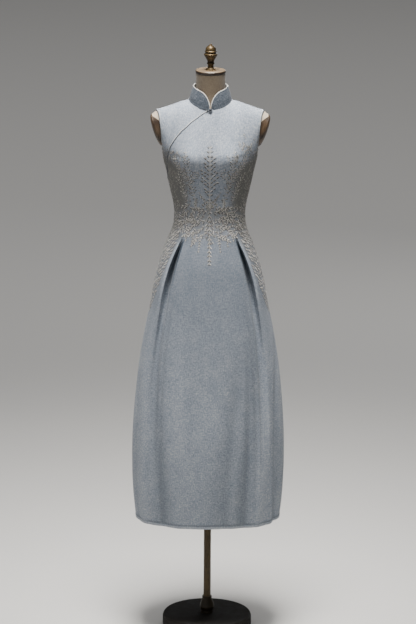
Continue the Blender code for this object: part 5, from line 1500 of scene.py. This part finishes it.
def build_form():
    """Torso, neck and arm stubs as joined grids, each meeting the next edge to edge."""
    points, faces, uvs = [], [], []
    stubs = {}

    def add(grid, wrap):
        rows, columns = grid.shape[:2]
        start = sum(len(p) for p in points)
        closed = np.concatenate([grid, grid[:, :1]], axis=1) if wrap else grid
        across, up = run_across(closed), run_along(closed[:, 0])
        closed = closed.reshape(-1, 3)
        points.append(closed)
        uvs.append(np.stack([across, np.broadcast_to(up[:, None], across.shape)], -1).reshape(-1, 2))
        faces.extend(grid_quads(rows, columns + (1 if wrap else 0), start, False, True))

    around = np.linspace(0, 360, 145)[:-1]
    heights = np.concatenate([np.linspace(1.045, 1.10, 16), np.linspace(1.11, UNDERARM, 40)])
    body = form_point(around[None, :], heights[:, None])
    add(body, True)
    inward = np.linspace(0.05, 1, 8)[:, None, None]
    under = body[0] * np.array([0.0, 0.0, 1.0]) + body[0][None] * LEVEL_PART * inward
    add(under, True)
    steps = 48
    rise = np.linspace(0, 1, steps + 1)
    heights = blend(UNDERARM, TOP, rise)
    front = form_point(np.linspace(0, 180, 73)[None, :], heights[:, None])
    back = form_point(np.linspace(180 + 1e-5, 360 - 1e-5, 73)[None, :], heights[:, None])
    add(front, False)
    add(back, False)
    for side, column in ((1, 0), (-1, 72)):
        edge = np.concatenate([front[:, column], back[::-1, 72 - column][1:-1]])
        turn = np.pi * np.arange(len(edge)) / steps
        end = plate_loop(side, turn)
        stubs[side] = (turn, edge, end)
        stub = np.stack([blend(edge, end, s) for s in np.linspace(0, 1, 6)])
        add(stub, True)
        disc = np.stack([plate_loop(side, turn, s) for s in np.linspace(1, 0.05, 4)])
        add(disc, True)
    share = np.linspace(0, 1, 25)
    seam = form_point(np.linspace(90 * (1 - NECK_SHARE), 180 - 90 * (1 - NECK_SHARE), 61), np.full(61, TOP))
    rear = form_point(np.linspace(180 + 90 * (1 - NECK_SHARE), 360 - 90 * (1 - NECK_SHARE), 61), np.full(61, TOP))
    neck = np.concatenate([seam, rear[1:-1]])
    slim = 1 - (1 - np.minimum(share / NECK_SLIM_SHARE, 1.0)) ** 2
    level = neck * LEVEL_PART
    rings = blend(level[None], unit(level)[None] * NECK_RADIUS, slim[:, None, None])
    rings[..., 2] = blend(neck[None, :, 2], NECK_TOP, share[:, None])
    groove = 0.0007 * (bell(neck[:, 0], 0.0012) + bell(np.abs(neck[:, 0]) - NECK_HALF_WIDTH * 0.93, 0.0015))
    rings -= unit(level)[None] * groove[None, :, None]
    add(rings, True)
    top = rings[-1][None] * LEVEL_PART * np.linspace(1, 0.05, 5)[:, None, None]
    top[..., 2] = NECK_TOP
    add(top, True)
    torso = make_mesh("form_linen_torso", np.concatenate(points), faces, np.concatenate(uvs), None, 60.0,
                      form_linen)
    return torso, rings, stubs


form, neck_rings, stubs = build_form()
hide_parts("form_torso")
front_column = int(np.argmin(np.abs(neck_rings[0, :61, 0])))
neck_seam = neck_rings[:, front_column]
seam_out = unit(neck_seam * LEVEL_PART)
neck_seam = neck_seam - seam_out * 0.0001 + [0.0012, 0, 0]
stitch_row("form_seam", [(neck_seam, seam_out)], *FORM_STITCH, form_sewing, slot="form_linen")


def turned(name, profile, seat, material, node, segments=96, dip=0.0):
    """A lathed piece: a profile of (radius, height) whose hard corners are shaded sharp."""
    rows = [(0.0004, profile[0][1])] + list(profile) + [(0.0004, profile[-1][1] - dip)]
    turn = full_turn(segments)
    points = np.array([[(r * math.cos(t), r * math.sin(t), seat + z) for t in -turn] for r, z in rows])
    faces = grid_quads(len(rows), segments, 0, True, True)
    faces += end_caps(len(rows), segments, flip_last=True)
    made = make_mesh(name, points, faces, None, None, 32.0, material)
    recalc(made)
    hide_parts(node)
    return made


def rounded(profile, steps=5, size=0.0012):
    """Rounds each corner of a profile a little."""
    profile = np.asarray(profile, float)
    out = [profile[0]]
    for a, b, c in zip(profile, profile[1:], profile[2:]):
        before = b + (a - b) * min(size / max(np.linalg.norm(a - b), 1e-9), 0.45)
        after = b + (c - b) * min(size / max(np.linalg.norm(c - b), 1e-9), 0.45)
        for t in np.linspace(0, 1, steps):
            out.append((1 - t) ** 2 * before + 2 * t * (1 - t) * b + t * t * after)
    return [tuple(p) for p in out + [profile[-1]]]


FINIAL = (
    (0.0150, 0.0000), (0.0152, 0.0030), (0.0120, 0.0048), (0.0090, 0.0080), (0.0088, 0.0160),
    (0.0127, 0.0200), (0.0100, 0.0235), (0.0108, 0.0290), (0.0165, 0.0390),
    (0.0210, 0.0470), (0.0214, 0.0500), (0.0168, 0.0525), (0.0164, 0.0545), (0.0188, 0.0565),
    (0.0186, 0.0590), (0.0160, 0.0608), (0.0165, 0.0650), (0.0140, 0.0705), (0.0085, 0.0755),
    (0.0042, 0.0775), (0.0036, 0.0800),
)
SOCKET = (
    (0.0195, 0.0000), (0.0200, 0.0035), (0.0178, 0.0060), (0.0190, 0.0100), (0.0228, 0.0170),
    (0.0234, 0.0230), (0.0215, 0.0310), (0.0175, 0.0420), (0.0148, 0.0490), (0.0150, 0.0510),
    (0.0158, 0.0535), (0.0150, 0.0560),
)
BASE_RADIUS, BASE_THICKNESS, CAP_THICKNESS, CAP_RADIUS, POLE_RADIUS = 0.142, 0.038, 0.010, 0.0468, 0.0116
turned("base_disc", rounded((
    (BASE_RADIUS - 0.003, 0.0), (BASE_RADIUS, 0.003), (BASE_RADIUS, 0.029), (BASE_RADIUS - 0.002, 0.030),
    (BASE_RADIUS - 0.002, 0.0345), (BASE_RADIUS - 0.005, BASE_THICKNESS), (0.030, BASE_THICKNESS),
)), 0.0, base_metal, "stand_base", 144)
turned("socket_turning", rounded(SOCKET, size=0.002), BASE_THICKNESS + GAP, pole_metal, "pole_socket")
turned("pole_tube", ((POLE_RADIUS, BASE_THICKNESS + 0.03), (POLE_RADIUS, 0.55), (POLE_RADIUS, 1.0447)), 0.0,
       pole_metal, "pole", 64)
turned("cap_board", rounded((
    (CAP_RADIUS - 0.001, 0.0), (CAP_RADIUS, 0.002), (CAP_RADIUS, 0.008), (CAP_RADIUS - 0.002, CAP_THICKNESS),
)), NECK_TOP + GAP, cap_wood, "neck_cap")
turned("finial_turning", rounded(FINIAL, size=0.0018), NECK_TOP + 2 * GAP + CAP_THICKNESS, bronze, "finial")

# Dark wood round each arm stub, from the plate down over most of its lower side: the plate's wooden side, drawn deep to
# paint the stub's shade.
for name, side in SIDES:
    turn, edge, end = stubs[side]
    folded = np.degrees(np.where(turn > math.pi, 2 * math.pi - turn, turn))
    first = np.clip((folded - 92.0) / 66.0, 0.03, 0.97)
    shares = first[None, :] + (1.0 - first)[None, :] * np.linspace(0, 1, 9)[:, None]
    surface = edge[None] + (end - edge)[None] * shares[..., None]
    across = np.roll(surface, -1, 1) - np.roll(surface, 1, 1)
    outward = unit(np.cross(np.broadcast_to(end - edge, surface.shape), across))
    middle = np.broadcast_to((edge.mean(0) + end.mean(0)) / 2, surface.shape)
    outward = np.where(np.sum(outward * (surface - middle), -1, keepdims=True) < 0, -outward, outward)
    wrap = np.stack([surface + outward * 0.0010, surface + outward * 0.0003])
    columns = wrap.shape[2]
    points = wrap.reshape(-1, 3)
    faces = grid_quads(9, columns, 0, True) + grid_quads(9, columns, 9 * columns, True, True)
    for row in (0, 8):
        for j in range(columns):
            k = (j + 1) % columns
            quad = (row * columns + j, row * columns + k, (9 + row) * columns + k, (9 + row) * columns + j)
            faces.append(quad if row else quad[::-1])
    shade_wrap = make_mesh(f"arm_shade_wrap_{name}", points, faces, None, None, 40.0, dark_wood)
    recalc(shade_wrap)

for name, side in SIDES:
    turn = full_turn(64)
    tiers = [(0.97, GAP), (1.0, GAP + 0.0006), (1.0, GAP + ARM_PLATE_RIM - 0.0006), (0.985, GAP + ARM_PLATE_RIM)]
    tiers += [(0.97 * math.cos(v), GAP + ARM_PLATE_RIM + ARM_PLATE_DOME * math.sin(v))
              for v in np.linspace(0.06, 1.5, 11)]
    grid = np.stack([plate_loop(side, turn, share, lift) for share, lift in tiers])
    faces = grid_quads(len(tiers), 64, 0, True)
    faces += end_caps(len(tiers), 64)
    plate = make_mesh(f"arm_board_{name}", grid, faces, None, None, 40.0, dark_wood)
    recalc(plate)
    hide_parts(f"arm_plate_{name}")


# ---------------------------------------------------------------- floor, light and camera

def add_stage():
    """A wide round floor, so that the same plain ground lies behind the form from every side."""
    radii = (0.0, 2.0, 6.0, 12.0, 24.0, 48.0)
    turn = full_turn(48)
    points = [(r * math.cos(t), r * math.sin(t), 0.0) for r in radii[1:] for t in turn] + [(0.0, 0.0, 0.0)]
    faces = grid_quads(len(radii) - 1, len(turn), 0, True, True)
    faces += [(len(points) - 1, j, (j + 1) % len(turn)) for j in range(len(turn))]
    mesh = bpy.data.meshes.new("studio_floor")
    mesh.from_pydata(points, [], [tuple(int(v) for v in face) for face in faces])
    mesh.shade_smooth()
    mesh.materials.append(Shader("floor_look", (0.62, 0.605, 0.58), 0.9).done())
    floor = placed("studio_floor", mesh)


def soft_light(name, place, target, size, watts, colour, spread):
    light = bpy.data.lights.new(name, "AREA")
    light.shape = "RECTANGLE"
    light.size, light.size_y = size
    light.energy = watts
    light.color = colour
    light.spread = math.radians(spread)
    made = placed(name, light)
    made.location = place
    made.rotation_euler = (Vector(target) - Vector(place)).to_track_quat("-Z", "Y").to_euler()


add_stage()
WHITE, WARM_WHITE = (1.0, 1.0, 1.0), (1.0, 0.985, 0.96)
LIGHTS = (  # name, place, target, size, watts, colour, spread in degrees
    ("key_over_chest", (-0.03, -0.60, 4.6), (0.0, -0.14, 1.50), (1.1, 0.9), 46.5, WARM_WHITE, 60.0),
    ("ceiling_softbox", (0.0, 2.0, 11.0), (0.0, 2.0, 0.0), (16.0, 16.0), 900.0, WHITE, 180.0),
    ("left_fill", (-3.4, -2.6, 1.0), (0.0, 0.0, 0.65), (1.8, 1.8), 13.0, WHITE, 180.0),
    ("front_fill", (-0.6, -5.0, 1.0), (0.0, 0.0, 0.75), (2.0, 1.2), 4.3, WHITE, 80.0),
    ("back_fill", (1.5, 4.5, 2.6), (0.0, 0.0, 1.1), (2.0, 1.6), 22.0, WHITE, 180.0),
)
for light in LIGHTS:
    soft_light(*light)
world = bpy.data.worlds.new("studio_air")
bpy.context.scene.world = world
world.use_nodes = True
air = world.node_tree.nodes["Background"].inputs
air["Color"].default_value, air["Strength"].default_value = (0.80, 0.82, 0.86, 1.0), 0.10

VIEW_ANGLE, VIEW_DISTANCE, METRES_PER_PIXEL = math.radians(14.5), 11.5, 0.00315
FRAME_HEIGHT, SENSOR_HEIGHT, ROLL = 624, 24.0, 3.9 / 569  # pixels, millimetres, radians
AIM_RIGHT, AIM_UP = -0.99, 10.5  # pixels from the middle of the object to the middle of the frame
camera = bpy.data.cameras.new("view")
camera.sensor_fit = "VERTICAL"
camera.sensor_height = SENSOR_HEIGHT
camera.lens = SENSOR_HEIGHT * VIEW_DISTANCE / (METRES_PER_PIXEL * FRAME_HEIGHT)
view = placed("view", camera)
right = np.array([1.0, 0.0, 0.0])
upright = np.array([0.0, math.sin(VIEW_ANGLE), math.cos(VIEW_ANGLE)])
backward = np.array([0.0, -math.cos(VIEW_ANGLE), math.sin(VIEW_ANGLE)])
target = np.array([0.0, 0.0, 1.0]) + (right * AIM_RIGHT + upright * AIM_UP) * METRES_PER_PIXEL
place = target + backward * VIEW_DISTANCE
turned_right = right * math.cos(ROLL) + upright * math.sin(ROLL)
turned_up = upright * math.cos(ROLL) - right * math.sin(ROLL)
rows = [[turned_right[i], turned_up[i], backward[i], place[i]] for i in range(3)] + [[0, 0, 0, 1]]
view.matrix_world = Matrix(rows)
bpy.context.scene.camera = view
